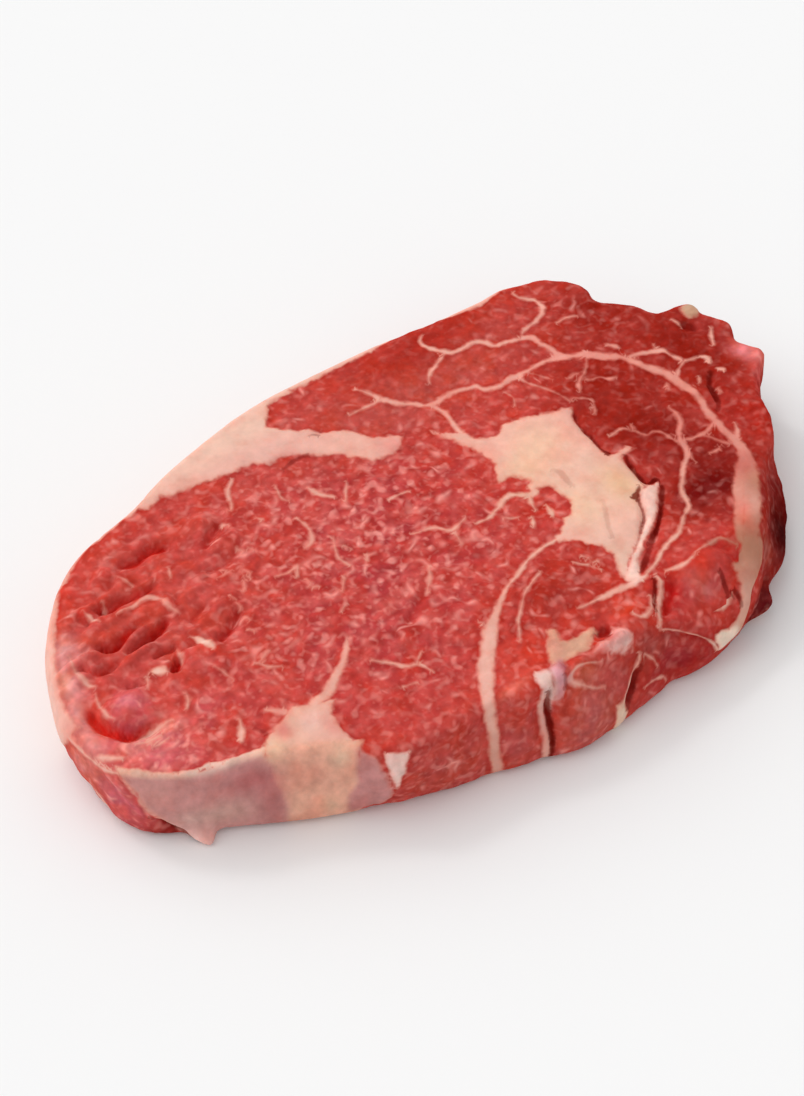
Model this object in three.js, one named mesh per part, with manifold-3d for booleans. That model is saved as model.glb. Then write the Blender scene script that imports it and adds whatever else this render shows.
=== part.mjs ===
// A raw boneless ribeye steak: one slab of meat that lies on its lower cut face.
// Millimetres, +Z up. X runs along the steak, from the rounded end of the eye muscle (-X) to the
// ragged end of the cap (+X). The origin is the middle of the slab's box, on the surface below it.
//
// The slab starts as a box whose square faces are drawn out to the steak's outline. The upper face
// then gets the steak's swells, clefts and bundles, the wall its swell and its scraps, and a last
// cut makes the lower face flat.

import * as THREE from "three";
import { mergeVertices } from "three/addons/utils/BufferGeometryUtils.js";
import Module from "manifold-3d";

// ---- Driving dimensions ----

const THICKNESS = 25; // from the table to the upper cut face
const CUT_EDGE = 2.6; // radius where the upper face turns into the wall
const FOOT_EDGE = 2.2; // radius where the wall turns under
const WALL_SWELL = 1.6; // how far the soft wall stands out at half height
const HALF_LENGTH = 109; // used only to spread the faces evenly over the slab
const HALF_WIDTH = 63;
const COLUMNS = 78; // faces along the slab, across it and up its wall
const ROWS = 54;
const LAYERS = 5;
const BELOW_TABLE = 2; // how far the uncut slab reaches under the flat lower face

// The slab's outlines are drawn about this point, and it is the middle of their common box.
const MIDDLE = [4.35, -2.48];

// Outline of the upper cut face, anticlockwise from the eye end. It is ragged at the cap end.
const UPPER_OUTLINE = [
  [-105, 2], [-101.5, -14], [-88, -26.8], [-77, -30.8], [-66, -37.2], [-55.5, -44.3], [-47, -51.7],
  [-20, -55.2], [-10, -58.7], [7, -60], [28, -61.5], [40, -66], [50, -66.3], [59, -62.5],
  [69, -55.5], [77, -47.5], [85, -39], [95.5, -32.4], [99.5, -26], [102, -19.1], [106.7, -13.6],
  [114, -8.1], [111.6, -0.7], [114.8, 5.8], [111.2, 12.4], [110.6, 17.5], [100.2, 20.4],
  [97.4, 26.4], [90.5, 34], [91.5, 41], [85.5, 49], [75, 53.2], [62, 53.6], [38, 57.6], [16, 60.2],
  [-10, 61.2], [-28, 58.6], [-42, 55.4], [-52, 51.6], [-74, 46.4], [-84.5, 39.5], [-93.5, 30],
  [-101, 16],
];

// Outline of the foot, where the wall meets the table.
const LOWER_OUTLINE = [
  [-101, 8], [-102.2, -3], [-102.2, -12], [-98.8, -19.4], [-84, -29], [-67, -39.6], [-53, -46.5],
  [-36, -54], [-12, -61.3], [-1, -65.2], [15, -65.6], [32, -65], [45, -66], [57, -62.5],
  [67.5, -58], [78, -52], [89.5, -42.5], [98.5, -31.5], [105, -19.5], [108, -4], [105, 8], [98, 18],
  [90, 29], [84, 42], [71, 50], [40, 55], [10, 58.5], [-14, 58.5], [-40, 53.5], [-72, 44],
  [-88.5, 32], [-97, 19],
];

// Broad swells (+) and hollows (-) of the upper face: centre, half widths, height.
const SWELLS = [
  { at: [-38, 4], half: [52, 34], height: 1.6 }, // eye muscle
  { at: [-108, 2], half: [16, 34], height: -2.4 }, // the eye end slumps
  { at: [30, 44], half: [34, 11], height: 0.9 }, // cap, along the back
  { at: [70, -4], half: [12, 20], height: -1 }, // cap, inside its seam
  { at: [43, -10], half: [11, 17], height: 0.7 }, // fat between eye and cap
  { at: [16, -36], half: [14, 8], height: 1.2 }, // small round muscle in front
  { at: [50, -68], half: [19, 10], height: -8.5 }, // the front corner falls away
  { at: [49, -54], half: [9, 4.5], height: 2.6 }, // muscle that stands up behind that corner
  { at: [3, -60], half: [6, 3.5], height: 1.8 }, // bundle under the torn membrane
  { at: [13, -60.5], half: [4, 3], height: 1.3 }, // shreds of that membrane
  { at: [24, -55], half: [5, 4.5], height: 1.3 }, // bundle beside it
  { at: [73, -42], half: [8, 4.5], height: 1.2 }, // folded fat along the outer seam
  { at: [66, -50.5], half: [7, 4], height: 1.6 }, // bundle on its outer side
  { at: [108, 6], half: [9, 14], height: -1.8 }, // ragged corner of the cap
  { at: [78, 45], half: [9, 8], height: -1.2 },
  { at: [-20, -40], half: [10, 12], height: -0.8 }, // valley of the front seam
];

// Clefts between muscle bundles: path along the bottom, half width, depth.
const CLEFTS = [
  {
    path: [
      [-69, 38], [-63, 36.6], [-58.4, 37.2], [-55, 36.2], [-50.5, 35.2],
    ],
    half: 1.7,
    depth: 2.9,
  },
  {
    path: [
      [-59.7, 27], [-64.7, 26.9], [-69, 27.2], [-73.7, 28], [-76.3, 27.4], [-78.4, 29.3], [-80, 31],
    ],
    half: 1.3,
    depth: 2.6,
  },
  { path: [[-82.7, 32.3], [-83.3, 28.9], [-82.3, 26.7]], half: 0.9, depth: 1.2 },
  {
    path: [
      [-72.2, 20.6], [-74.9, 18.8], [-76.8, 18.6], [-80.3, 17.9], [-82, 17.5], [-83.6, 18.3],
      [-84.8, 19.7], [-85.3, 21.4],
    ],
    half: 1.4,
    depth: 3.3,
  },
  {
    path: [
      [-65.6, 18], [-68.2, 15.8], [-70.6, 14.8], [-74.7, 14], [-78.6, 13.6], [-82.4, 14.3],
    ],
    half: 1.3,
    depth: 3,
  },
  {
    path: [
      [-91.5, 21.5], [-91.6, 18.2], [-91.2, 15.8], [-90.2, 14.1], [-88.5, 13.3], [-86.5, 12.9],
      [-84.4, 12.7], [-82, 13.4],
    ],
    half: 1,
    depth: 2,
  },
  {
    path: [
      [-69.6, 8.2], [-71.4, 8.1], [-73.6, 8.3], [-75.7, 8.1], [-77.6, 8.7],
    ],
    half: 1,
    depth: 1.8,
  },
  // pit in the eye muscle
  { path: [[-72.4, 4.8], [-73.2, 3.3], [-74.4, 2.5], [-76.3, 1.2]], half: 1.3, depth: 3.6 },
  {
    path: [
      [-81.8, 3.2], [-83, 3.3], [-84.8, 4.1], [-86.5, 4.8], [-87.7, 5.9],
    ],
    half: 0.9,
    depth: 1.5,
  },
  // below the lump at the eye end
  {
    path: [
      [-95.6, 9], [-96.9, 6.3], [-97.8, 3.2], [-97.6, 0.3], [-96.7, -2.1], [-94.4, -6.2],
      [-91.8, -7.4], [-88.6, -8.4], [-84.6, -8.4],
    ],
    half: 1.6,
    depth: 3.4,
  },
  { path: [[-62.6, 2.8], [-59.6, 3], [-56.5, 4.1], [-53.3, 6], [-51.4, 8]], half: 1.4, depth: 2.3 },
  { path: [[-56.7, 14], [-60.6, 12.7], [-63.9, 11.5]], half: 1.2, depth: 1.5 },
  { path: [[-60.2, 20.6], [-62.3, 19], [-63, 16.6]], half: 1, depth: 1.4 },
  { path: [[-48, 28.5], [-43, 30.6], [-38, 34]], half: 1.4, depth: 1.7 },
  { path: [[-52, 22.6], [-46, 21.4], [-38, 23.6]], half: 1.4, depth: 1.3 },
  { path: [[-23, -23.5], [-16, -19.2], [-11, -16.8]], half: 1.3, depth: 1 },
  // hole by the membrane
  { path: [[12.6, -53], [15.2, -54.2], [17.2, -54]], half: 1.9, depth: 3.4 },
  // between two lobes of the front
  { path: [[29, -61], [33, -56], [39, -51]], half: 1.4, depth: 1.6 },
  { path: [[54, -49], [57, -54], [58, -60]], half: 1.6, depth: 1.6 },
  // split in the fat
  {
    path: [
      [50.2, -26], [49.2, -29.8], [47.5, -32.5], [44.9, -35], [42.2, -37.6],
    ],
    half: 0.8,
    depth: 1.2,
  },
  // between the fat and the cap
  { path: [[58, 7], [55.6, 1], [54.9, -4.6], [54.6, -11]], half: 0.9, depth: 1.2 },
  { path: [[57, -15], [56.2, -20], [56, -24], [58.6, -26]], half: 0.9, depth: 1.2 },
  { path: [[58, -28.2], [52, -34.2], [46, -39], [42, -41.4]], half: 1, depth: 1.2 },
  { path: [[96.4, -5.6], [92.8, -9.2], [91, -12.7], [89.3, -16.4]], half: 1.5, depth: 1.4 },
  // notch of the ragged corner
  { path: [[102, 13], [103.8, 11], [105.8, 9]], half: 1.6, depth: 2.2 },
  { path: [[36, -50], [33.5, -52.7], [30.9, -55.1], [29.4, -57.8]], half: 0.8, depth: 1 },
  { path: [[40.4, -51.6], [37.4, -54.8], [33.8, -57.4], [31.3, -59.4]], half: 1.3, depth: 1.6 },
];

// Single bundles that stand out of the eye muscle: centre, half widths, height.
const BUNDLES = [
  { at: [-90.6, -1.2], half: [5.8, 4.6], height: 2.8 },
  { at: [-88.4, 17.9], half: [2.8, 1.9], height: 1.4 },
  { at: [-80, 24.4], half: [5.4, 2.2], height: 1.3 },
  { at: [-80.6, 21], half: [4, 1.4], height: 1 },
  { at: [-71.4, 35.4], half: [6, 2.6], height: 1.2 },
  { at: [-75.6, 16.3], half: [7, 1], height: 1.6 },
  { at: [-74.5, 11.2], half: [7, 1.5], height: 1.4 },
  { at: [-69, 24.8], half: [6, 1.4], height: 1 },
  { at: [-63.6, 20.4], half: [1.6, 4], height: 0.8 },
  { at: [-43, 35.5], half: [4, 3.4], height: 1.6 },
  { at: [-55, 9.6], half: [5, 2.4], height: 1.2 },
  { at: [-66, -4], half: [6, 4], height: 0.8 },
  { at: [-42, 26.5], half: [4.5, 2.2], height: 1.2 },
  { at: [17.2, -58.8], half: [2.6, 2.2], height: 1.4 },
  { at: [11.6, -58], half: [2.2, 1.8], height: 1 },
  { at: [3.4, -60], half: [3.4, 1.8], height: 1.2 },
];

// Scraps and lobes of the wall: middle, spread along the outline and up the wall, push along X, Y.
const SCRAPS = [
  { at: [63.4, -63, 4.6], spread: [4.2, 4.6], push: [3.6, -3.2] }, // dark nub on the front corner
  { at: [75, -54, 7], spread: [6, 8], push: [1.1, -0.9] },
  { at: [-89, -25.5, 1], spread: [3, 2.8], push: [-0.6, -5] }, // shred of membrane at the foot
  { at: [2, -64, 9], spread: [11, 8], push: [0.2, -1.5] },
  { at: [-10.5, -60.5, 14], spread: [2.2, 12], push: [0.2, 1.8] }, // crease beside the membrane
  { at: [-25, -58, 12], spread: [2.6, 12], push: [0.2, 0.9] }, // the front seam's end
  { at: [30, -64.5, 10], spread: [3, 10], push: [0, 1.4] }, // crease between two lobes
  { at: [82, -48, 10], spread: [15, 8], push: [1.5, -1.2] }, // the wall bellies out at the cap
  { at: [98.5, -29.5, 13], spread: [8.5, 9], push: [-2.6, 2.1] }, // hollow under the cap
  { at: [48, -68, 7], spread: [7, 7], push: [-0.2, 1.1] },
  { at: [111, 3, 18], spread: [4, 4], push: [-2.5, 0] }, // notch under the cap's flap
];

// ---- Curves ----

// Points along a smooth curve through the given ones.
function smoothPath(points, closed, count) {
  const knots = points.map(([x, y]) => new THREE.Vector3(x, y, 0));
  return new THREE.CatmullRomCurve3(knots, closed, "centripetal").getPoints(count);
}

// An outline as a function: the angle about MIDDLE, in radians, gives the distance from it.
function polarOutline(points) {
  const rim = smoothPath(points, true, 720).map((p) => {
    const dx = p.x - MIDDLE[0];
    const dy = p.y - MIDDLE[1];
    return { angle: Math.atan2(dy, dx), distance: Math.hypot(dx, dy) };
  });
  rim.sort((a, b) => a.angle - b.angle);
  const first = rim[0];
  const last = rim[rim.length - 1];
  rim.push({ angle: first.angle + 2 * Math.PI, distance: first.distance });
  rim.unshift({ angle: last.angle - 2 * Math.PI, distance: last.distance });
  return (angle) => {
    let low = 0;
    let high = rim.length - 1;
    while (high - low > 1) {
      const mid = (low + high) >> 1;
      if (rim[mid].angle > angle) high = mid;
      else low = mid;
    }
    const span = rim[high].angle - rim[low].angle;
    const share = span > 0 ? (angle - rim[low].angle) / span : 0;
    return rim[low].distance + share * (rim[high].distance - rim[low].distance);
  };
}

const upperReach = polarOutline(UPPER_OUTLINE);
const lowerReach = polarOutline(LOWER_OUTLINE);
const cleftPaths = CLEFTS.map((cleft) => smoothPath(cleft.path, false, 24));

// ---- Surface ----

const bell = (t) => Math.exp(-t * t);
const smoothStep = (t) => {
  const s = Math.min(1, Math.max(0, t));
  return s * s * (3 - 2 * s);
};

// A round hill over an ellipse.
function hill({ at, half, height }, x, y) {
  return height * bell(Math.hypot((x - at[0]) / half[0], (y - at[1]) / half[1]));
}

// Depth of one cleft at a point: full along its middle, running out at both ends.
function cleftDepth(cleft, path, x, y) {
  let nearest = Infinity;
  let along = 0;
  path.forEach((p, i) => {
    const away = Math.hypot(x - p.x, y - p.y);
    if (away < nearest) {
      nearest = away;
      along = i / (path.length - 1);
    }
  });
  return cleft.depth * bell(nearest / cleft.half) * smoothStep(4 * Math.min(along, 1 - along));
}

// Height of the upper face over the table, before its edge is rounded.
function upperHeight(x, y) {
  let z = THICKNESS;
  for (const swell of SWELLS) z += hill(swell, x, y);
  for (const bundle of BUNDLES) z += hill(bundle, x, y);
  CLEFTS.forEach((cleft, i) => {
    z -= cleftDepth(cleft, cleftPaths[i], x, y);
  });
  return z;
}

// How strongly a scrap pushes the wall at a point of it, from 0 to 1.
function scrapShare({ at, spread }, x, y, z) {
  const along = Math.hypot(x - at[0], y - at[1]) / spread[0];
  return bell(along) * bell((z - at[2]) / spread[1]);
}

// Fall of a rounded edge of the given radius, at a distance inside it.
function edgeFall(radius, inside) {
  const short = Math.max(0, radius - inside);
  return radius - Math.sqrt(radius * radius - short * short);
}

// Place of the wall in one direction from MIDDLE and at one height, drawn inwards by share.
function wallPoint(angle, share, z, rimHeight) {
  const rise = Math.min(1, Math.max(0, z / rimHeight));
  const foot = lowerReach(angle);
  const rim = upperReach(angle);
  const swell = WALL_SWELL * Math.sin(Math.PI * rise) - edgeFall(FOOT_EDGE, z);
  const reach = share * (foot + (rim - foot) * smoothStep(rise) + swell);
  const x = MIDDLE[0] + reach * Math.cos(angle);
  const y = MIDDLE[1] + reach * Math.sin(angle);
  const pushes = SCRAPS.map((scrap) => {
    const strength = scrapShare(scrap, x, y, z);
    return [strength * scrap.push[0], strength * scrap.push[1]];
  });
  return pushes.reduce(([px, py], [dx, dy]) => [px + dx, py + dy], [x, y]);
}

// Moves one corner of the box (each coordinate from -1 to 1) to its place on the slab.
function placeOnSlab(u, v, w) {
  const discX = u * Math.sqrt(1 - (v * v) / 2);
  const discY = v * Math.sqrt(1 - (u * u) / 2);
  const angle = Math.atan2(discY * HALF_WIDTH, discX * HALF_LENGTH);
  const share = Math.min(1, Math.hypot(discX, discY));
  const rim = upperReach(angle);
  const rimX = MIDDLE[0] + rim * Math.cos(angle);
  const rimY = MIDDLE[1] + rim * Math.sin(angle);
  const rimHeight = upperHeight(rimX, rimY) - CUT_EDGE;
  const onWall = share > 0.9999;
  if (w > 0.9999 && !onWall) {
    const x = MIDDLE[0] + share * rim * Math.cos(angle);
    const y = MIDDLE[1] + share * rim * Math.sin(angle);
    return [x, y, upperHeight(x, y) - edgeFall(CUT_EDGE, (1 - share) * rim)];
  }
  const rise = (w + 1) / 2;
  const height = rise * (rimHeight + BELOW_TABLE) - BELOW_TABLE;
  const [x, y] = wallPoint(angle, share, Math.max(0, height), rimHeight);
  return [x, y, height];
}

// The box's even rows, drawn closer together where the slab's surface turns: at its two ends and
// sides, and in the clefts of the eye end.
const spreadRows = (t) => t * (1.16 - 0.16 * t * t);
const spreadColumns = (t) => spreadRows(t) + 0.13 * (t * t - 1);

// ---- Solids ----

function slabGeometry() {
  const box = new THREE.BoxGeometry(2, 2, 2, COLUMNS, ROWS, LAYERS);
  const place = box.getAttribute("position");
  for (let i = 0; i < place.count; i++) {
    const u = spreadColumns(place.getX(i));
    const v = spreadRows(place.getY(i));
    const [x, y, z] = placeOnSlab(u, v, place.getZ(i));
    place.setXYZ(i, x - MIDDLE[0], y - MIDDLE[1], z);
  }
  return box;
}

const wasm = await Module();
wasm.setup();

// A closed three.js geometry as a solid that can be cut.
function solidOf(geometry) {
  const bare = geometry.clone();
  bare.deleteAttribute("normal");
  bare.deleteAttribute("uv");
  const merged = mergeVertices(bare, 1e-3);
  return new wasm.Manifold(
    new wasm.Mesh({
      numProp: 3,
      vertProperties: merged.getAttribute("position").array,
      triVerts: new Uint32Array(merged.index.array),
    }),
  );
}

function geometryOf(solid) {
  const mesh = solid.getMesh();
  const geometry = new THREE.BufferGeometry();
  geometry.setAttribute("position", new THREE.BufferAttribute(mesh.vertProperties, 3));
  geometry.setIndex(new THREE.BufferAttribute(mesh.triVerts, 1));
  geometry.computeVertexNormals();
  return geometry;
}

// What lies under the table's surface, as a block to cut away.
function underTable() {
  const depth = 4 * BELOW_TABLE;
  const block = new THREE.BoxGeometry(4 * HALF_LENGTH, 4 * HALF_WIDTH, depth);
  block.translate(0, 0, -depth / 2);
  return block;
}

const slab = solidOf(slabGeometry()).subtract(solidOf(underTable()));

const meat = new THREE.MeshStandardMaterial({ color: 0xb8443a, roughness: 0.42, metalness: 0 });
const steak = new THREE.Mesh(geometryOf(slab), meat);
steak.name = "steak";

const ribeye = new THREE.Group();
ribeye.add(steak);

export default ribeye;
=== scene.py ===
import math

import bmesh
import bpy
import numpy as np
from mathutils import Matrix, Vector, noise


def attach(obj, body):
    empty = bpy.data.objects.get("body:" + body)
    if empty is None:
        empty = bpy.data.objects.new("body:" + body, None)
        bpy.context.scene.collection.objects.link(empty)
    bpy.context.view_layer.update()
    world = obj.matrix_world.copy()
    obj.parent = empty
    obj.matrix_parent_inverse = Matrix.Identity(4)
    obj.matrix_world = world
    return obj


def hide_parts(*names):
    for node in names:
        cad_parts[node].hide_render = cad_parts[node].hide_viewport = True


# A raw ribeye steak on a pale table. The slab has the form of the solid that it replaces: its
# outlines, swells, bundles, scraps and clefts are the same named values, in millimetres, apart from
# three clefts that are shallower here. Its fat is a set of upright sheets and columns that run
# through the slab, so that they show on both cut faces and on the wall, with membranes and strands
# that lie on the wall. Distances to that fat, and the colours of the meat, are kept on the mesh's
# points, and the material turns them into fat, marbling and lean.

# ---- Driving dimensions, in millimetres ----

MM = 0.001
THICKNESS = 25.0
CUT_EDGE = 2.6  # radius where the upper face turns into the wall
FOOT_EDGE = 2.2  # radius where the wall turns under
WALL_TOP = THICKNESS - CUT_EDGE
WALL_SWELL = 1.6  # how far the soft wall stands out at half height
HALF_LENGTH = 109.0  # used only to spread the box's faces evenly over the slab
HALF_WIDTH = 63.0
BOX_FACES = (150, 96, 18)  # faces of the box along the slab, across it and up its wall
SKIN_STEP = 0.8  # size of the faces of the finished skin
RELAX_ROUNDS = 3

# The outlines are drawn about this point, and it is the middle of their common box.
MIDDLE = (4.35, -2.48)

# A cleft's half width at its steep and at its gentle side, as shares of the listed one.
STEEP_SIDE = 0.65
GENTLE_SIDE = 1.15

# How far the fat's edges wander, and how far its sheets and columns lean by the slab's foot.
FAT_WANDER = 0.5
FAT_TILT = 4
RIM_FAT_DEPTH = 2.5  # how far down the wall the rim's fat keeps its width
PATCH_WAVER = 0.8  # how far the edges of membranes wander along the wall

# The eye muscle's far end, as centre and half widths, and the heights of the long folds there, of
# the finer ones between them, of the lumps of cut meat, which are higher there, and of its waves and
# grain.
EYE_END = ((-78, 17), (27, 23))
FOLD_HEIGHT = 3.4
FINE_FOLD_HEIGHT = 1.5
LUMP_HEIGHT = 0.55
EYE_END_LUMPS = 0.5
WAVE_HEIGHT = 0.35
GRAIN_HEIGHT = 0.16

# How far the fat stands out over the lean, how much smoother it is, and how much of the relief is
# left at the foot, where the table holds the slab.
FAT_HEIGHT = 0.35
FAT_SMOOTHNESS = 0.75
FOOT_RELIEF = 0.25

# How deep under the wall its patches, and its strands and grooves, still count. A point deeper than
# that looks for strands this far out of the way.
PATCH_DEPTH = 5
WALL_DEPTH = 4
OUT_OF_THE_WAY = 1000

# Past these distances from a column of fat, and from a strand or crease, none is measured.
FAR_FROM_FAT = 12.0
FAR_FROM_STRAND = 7

# How bright the room makes a white surface, what the wet sheen adds to any colour, and the darkest
# paint.
ROOM_LIGHT = 1.09
SHEEN = 0.004
DARKEST_PAINT = 0.003

# What the painted shade in a cleft leaves of the lean's red, green and blue, how much painted light
# lifts the crests, and the marbling of lean that no part of MARBLED covers.
CLEFT_SHADE = (1.0, 0.24, 0.20)
CREST_LIGHT = 0.22
PLAIN_MARBLING = 0.35

# Outline of the upper cut face, anticlockwise from the eye end, ragged at the cap end.
UPPER_OUTLINE = [
    (-105, 2), (-101.5, -14), (-88, -26.8), (-77, -30.8), (-66, -37.2), (-55.5, -44.3),
    (-47, -51.7), (-20, -55.2), (-10, -58.7), (7, -60), (28, -61.5), (40, -66), (50, -66.3),
    (59, -62.5), (69, -55.5), (77, -47.5), (85, -39), (95.5, -32.4), (99.5, -26), (102, -19.1),
    (106.7, -13.6), (114, -8.1), (111.6, -0.7), (114.8, 5.8), (111.2, 12.4), (110.6, 17.5),
    (100.2, 20.4), (97.4, 26.4), (90.5, 34), (91.5, 41), (85.5, 49), (75, 53.2), (62, 53.6), (38, 57.6),
    (16, 60.2), (-10, 61.2), (-28, 58.6), (-42, 55.4), (-52, 51.6), (-74, 46.4), (-84.5, 39.5),
    (-93.5, 30), (-101, 16),
]

# Outline of the foot, where the wall meets the table.
LOWER_OUTLINE = [
    (-101, 8), (-102.2, -3), (-102.2, -12), (-98.8, -19.4), (-84, -29), (-67, -39.6),
    (-53, -46.5), (-36, -54), (-12, -61.3), (-1, -65.2), (15, -65.6), (32, -65), (45, -66),
    (57, -62.5), (67.5, -58), (78, -52), (89.5, -42.5), (98.5, -31.5), (105, -19.5), (108, -4),
    (105, 8), (98, 18), (90, 29), (84, 42), (71, 50), (40, 55), (10, 58.5), (-14, 58.5),
    (-40, 53.5), (-72, 44), (-88.5, 32), (-97, 19),
]

# Swells and hollows of the upper face: centre, half widths, height.
SWELLS = [
    ((-38, 4), (52, 34), 1.6),
    ((-108, 2), (16, 34), -2.4),
    ((30, 44), (34, 11), 0.9),
    ((70, -4), (12, 20), -1.0),
    ((43, -10), (11, 17), 0.7),
    ((16, -36), (14, 8), 1.2),
    ((50, -68), (19, 10), -8.5),
    ((49, -54), (9, 4.5), 2.6),
    ((3, -60), (6, 3.5), 1.8),
    ((13, -60.5), (4, 3), 1.3),
    ((24, -55), (5, 4.5), 1.3),
    ((73, -42), (8, 4.5), 1.2),
    ((66, -50.5), (7, 4), 1.6),
    ((108, 6), (9, 14), -1.8),
    ((78, 45), (9, 8), -1.2),
    ((-20, -40), (10, 12), -0.8),
]

# Clefts between muscle bundles: path along the bottom, half width, depth.
CLEFTS = [
    ([(-69, 38), (-63, 36.6), (-58.4, 37.2), (-55, 36.2), (-50.5, 35.2)], 1.7, 2.9),
    ([(-59.7, 27), (-64.7, 26.9), (-69, 27.2), (-73.7, 28), (-76.3, 27.4), (-78.4, 29.3),
      (-80, 31)], 1.3, 2.6),
    ([(-82.7, 32.3), (-83.3, 28.9), (-82.3, 26.7)], 0.9, 1.2),
    ([(-72.2, 20.6), (-74.9, 18.8), (-76.8, 18.6), (-80.3, 17.9), (-82, 17.5), (-83.6, 18.3),
      (-84.8, 19.7), (-85.3, 21.4)], 1.4, 3.3),
    ([(-65.6, 18), (-68.2, 15.8), (-70.6, 14.8), (-74.7, 14), (-78.6, 13.6), (-82.4, 14.3)],
     1.3, 3.0),
    ([(-91.5, 21.5), (-91.6, 18.2), (-91.2, 15.8), (-90.2, 14.1), (-88.5, 13.3), (-86.5, 12.9),
      (-84.4, 12.7), (-82, 13.4)], 1.0, 2.0),
    ([(-69.6, 8.2), (-71.4, 8.1), (-73.6, 8.3), (-75.7, 8.1), (-77.6, 8.7)], 1.0, 1.8),
    ([(-72.4, 4.8), (-73.2, 3.3), (-74.4, 2.5), (-76.3, 1.2)], 1.3, 3.6),
    ([(-81.8, 3.2), (-83, 3.3), (-84.8, 4.1), (-86.5, 4.8), (-87.7, 5.9)], 0.9, 1.5),
    ([(-95.6, 9), (-96.9, 6.3), (-97.8, 3.2), (-97.6, 0.3), (-96.7, -2.1), (-94.4, -6.2),
      (-91.8, -7.4), (-88.6, -8.4), (-84.6, -8.4)], 1.6, 3.4),
    ([(-62.6, 2.8), (-59.6, 3), (-56.5, 4.1), (-53.3, 6), (-51.4, 8)], 1.4, 2.3),
    ([(-56.7, 14), (-60.6, 12.7), (-63.9, 11.5)], 1.2, 1.5),
    ([(-60.2, 20.6), (-62.3, 19), (-63, 16.6)], 1.0, 1.4),
    ([(-48, 28.5), (-43, 30.6), (-38, 34)], 1.4, 1.7),
    ([(-52, 22.6), (-46, 21.4), (-38, 23.6)], 1.4, 1.3),
    ([(-23, -23.5), (-16, -19.2), (-11, -16.8)], 1.3, 1),
    ([(12.6, -53), (15.2, -54.2), (17.2, -54)], 1.9, 2.2),
    ([(29, -61), (33, -56), (39, -51)], 1.4, 1.6),
    ([(54, -49), (57, -54), (58, -60)], 1.6, 1.6),
    ([(50.2, -26), (49.2, -29.8), (47.5, -32.5), (44.9, -35), (42.2, -37.6)], 0.8, 1.2),
    ([(58, 7), (55.6, 1), (54.9, -4.6), (54.6, -11)], 0.9, 0.9),
    ([(57, -15), (56.2, -20), (56, -24), (58.6, -26)], 0.9, 1.2),
    ([(58, -28.2), (52, -34.2), (46, -39), (42, -41.4)], 1, 1.2),
    ([(96.4, -5.6), (92.8, -9.2), (91, -12.7), (89.3, -16.4)], 1.5, 1.4),
    ([(102, 13), (103.8, 11), (105.8, 9)], 1.6, 1.4),
    ([(36, -50), (33.5, -52.7), (30.9, -55.1), (29.4, -57.8)], 0.8, 1),
    ([(40.4, -51.6), (37.4, -54.8), (33.8, -57.4), (31.3, -59.4)], 1.3, 1.6),
]

# Bundles that stand out of the eye muscle and by the front: centre, half widths, height.
BUNDLES = [
    ((-90.6, -1.2), (5.8, 4.6), 2.8),
    ((-88.4, 17.9), (2.8, 1.9), 1.4),
    ((-80, 24.4), (5.4, 2.2), 1.3),
    ((-80.6, 21), (4, 1.4), 1.0),
    ((-71.4, 35.4), (6, 2.6), 1.2),
    ((-75.6, 16.3), (7, 1.0), 1.6),
    ((-74.5, 11.2), (7, 1.5), 1.4),
    ((-69, 24.8), (6, 1.4), 1.0),
    ((-63.6, 20.4), (1.6, 4), 0.8),
    ((-43, 35.5), (4, 3.4), 1.6),
    ((-55, 9.6), (5, 2.4), 1.2),
    ((-66, -4), (6, 4), 0.8),
    ((-42, 26.5), (4.5, 2.2), 1.2),
    ((17.2, -58.8), (2.6, 2.2), 1.4),
    ((11.6, -58), (2.2, 1.8), 1.0),
    ((3.4, -60), (3.4, 1.8), 1.2),
]

# Scraps and lobes of the wall: middle, spread along the outline and up the wall, push along X, Y.
SCRAPS = [
    ((63.4, -63, 4.6), (4.2, 4.6), (3.6, -3.2)),
    ((75, -54, 7), (6, 8), (1.1, -0.9)),
    ((-89, -25.5, 1), (3, 2.8), (-0.6, -5)),
    ((2, -64, 9), (11, 8), (0.2, -1.5)),
    ((-10.5, -60.5, 14), (2.2, 12), (0.2, 1.8)),
    ((-25, -58, 12), (2.6, 12), (0.2, 0.9)),
    ((30, -64.5, 10), (3, 10), (0, 1.4)),
    ((82, -48, 10), (15, 8), (1.5, -1.2)),
    ((98.5, -29.5, 13), (8.5, 9), (-2.6, 2.1)),
    ((48, -68, 7), (7, 7), (-0.2, 1.1)),
    ((111, 3, 18), (4, 4), (-2.5, 0)),
]

# ---- Fat, in millimetres ----

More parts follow.
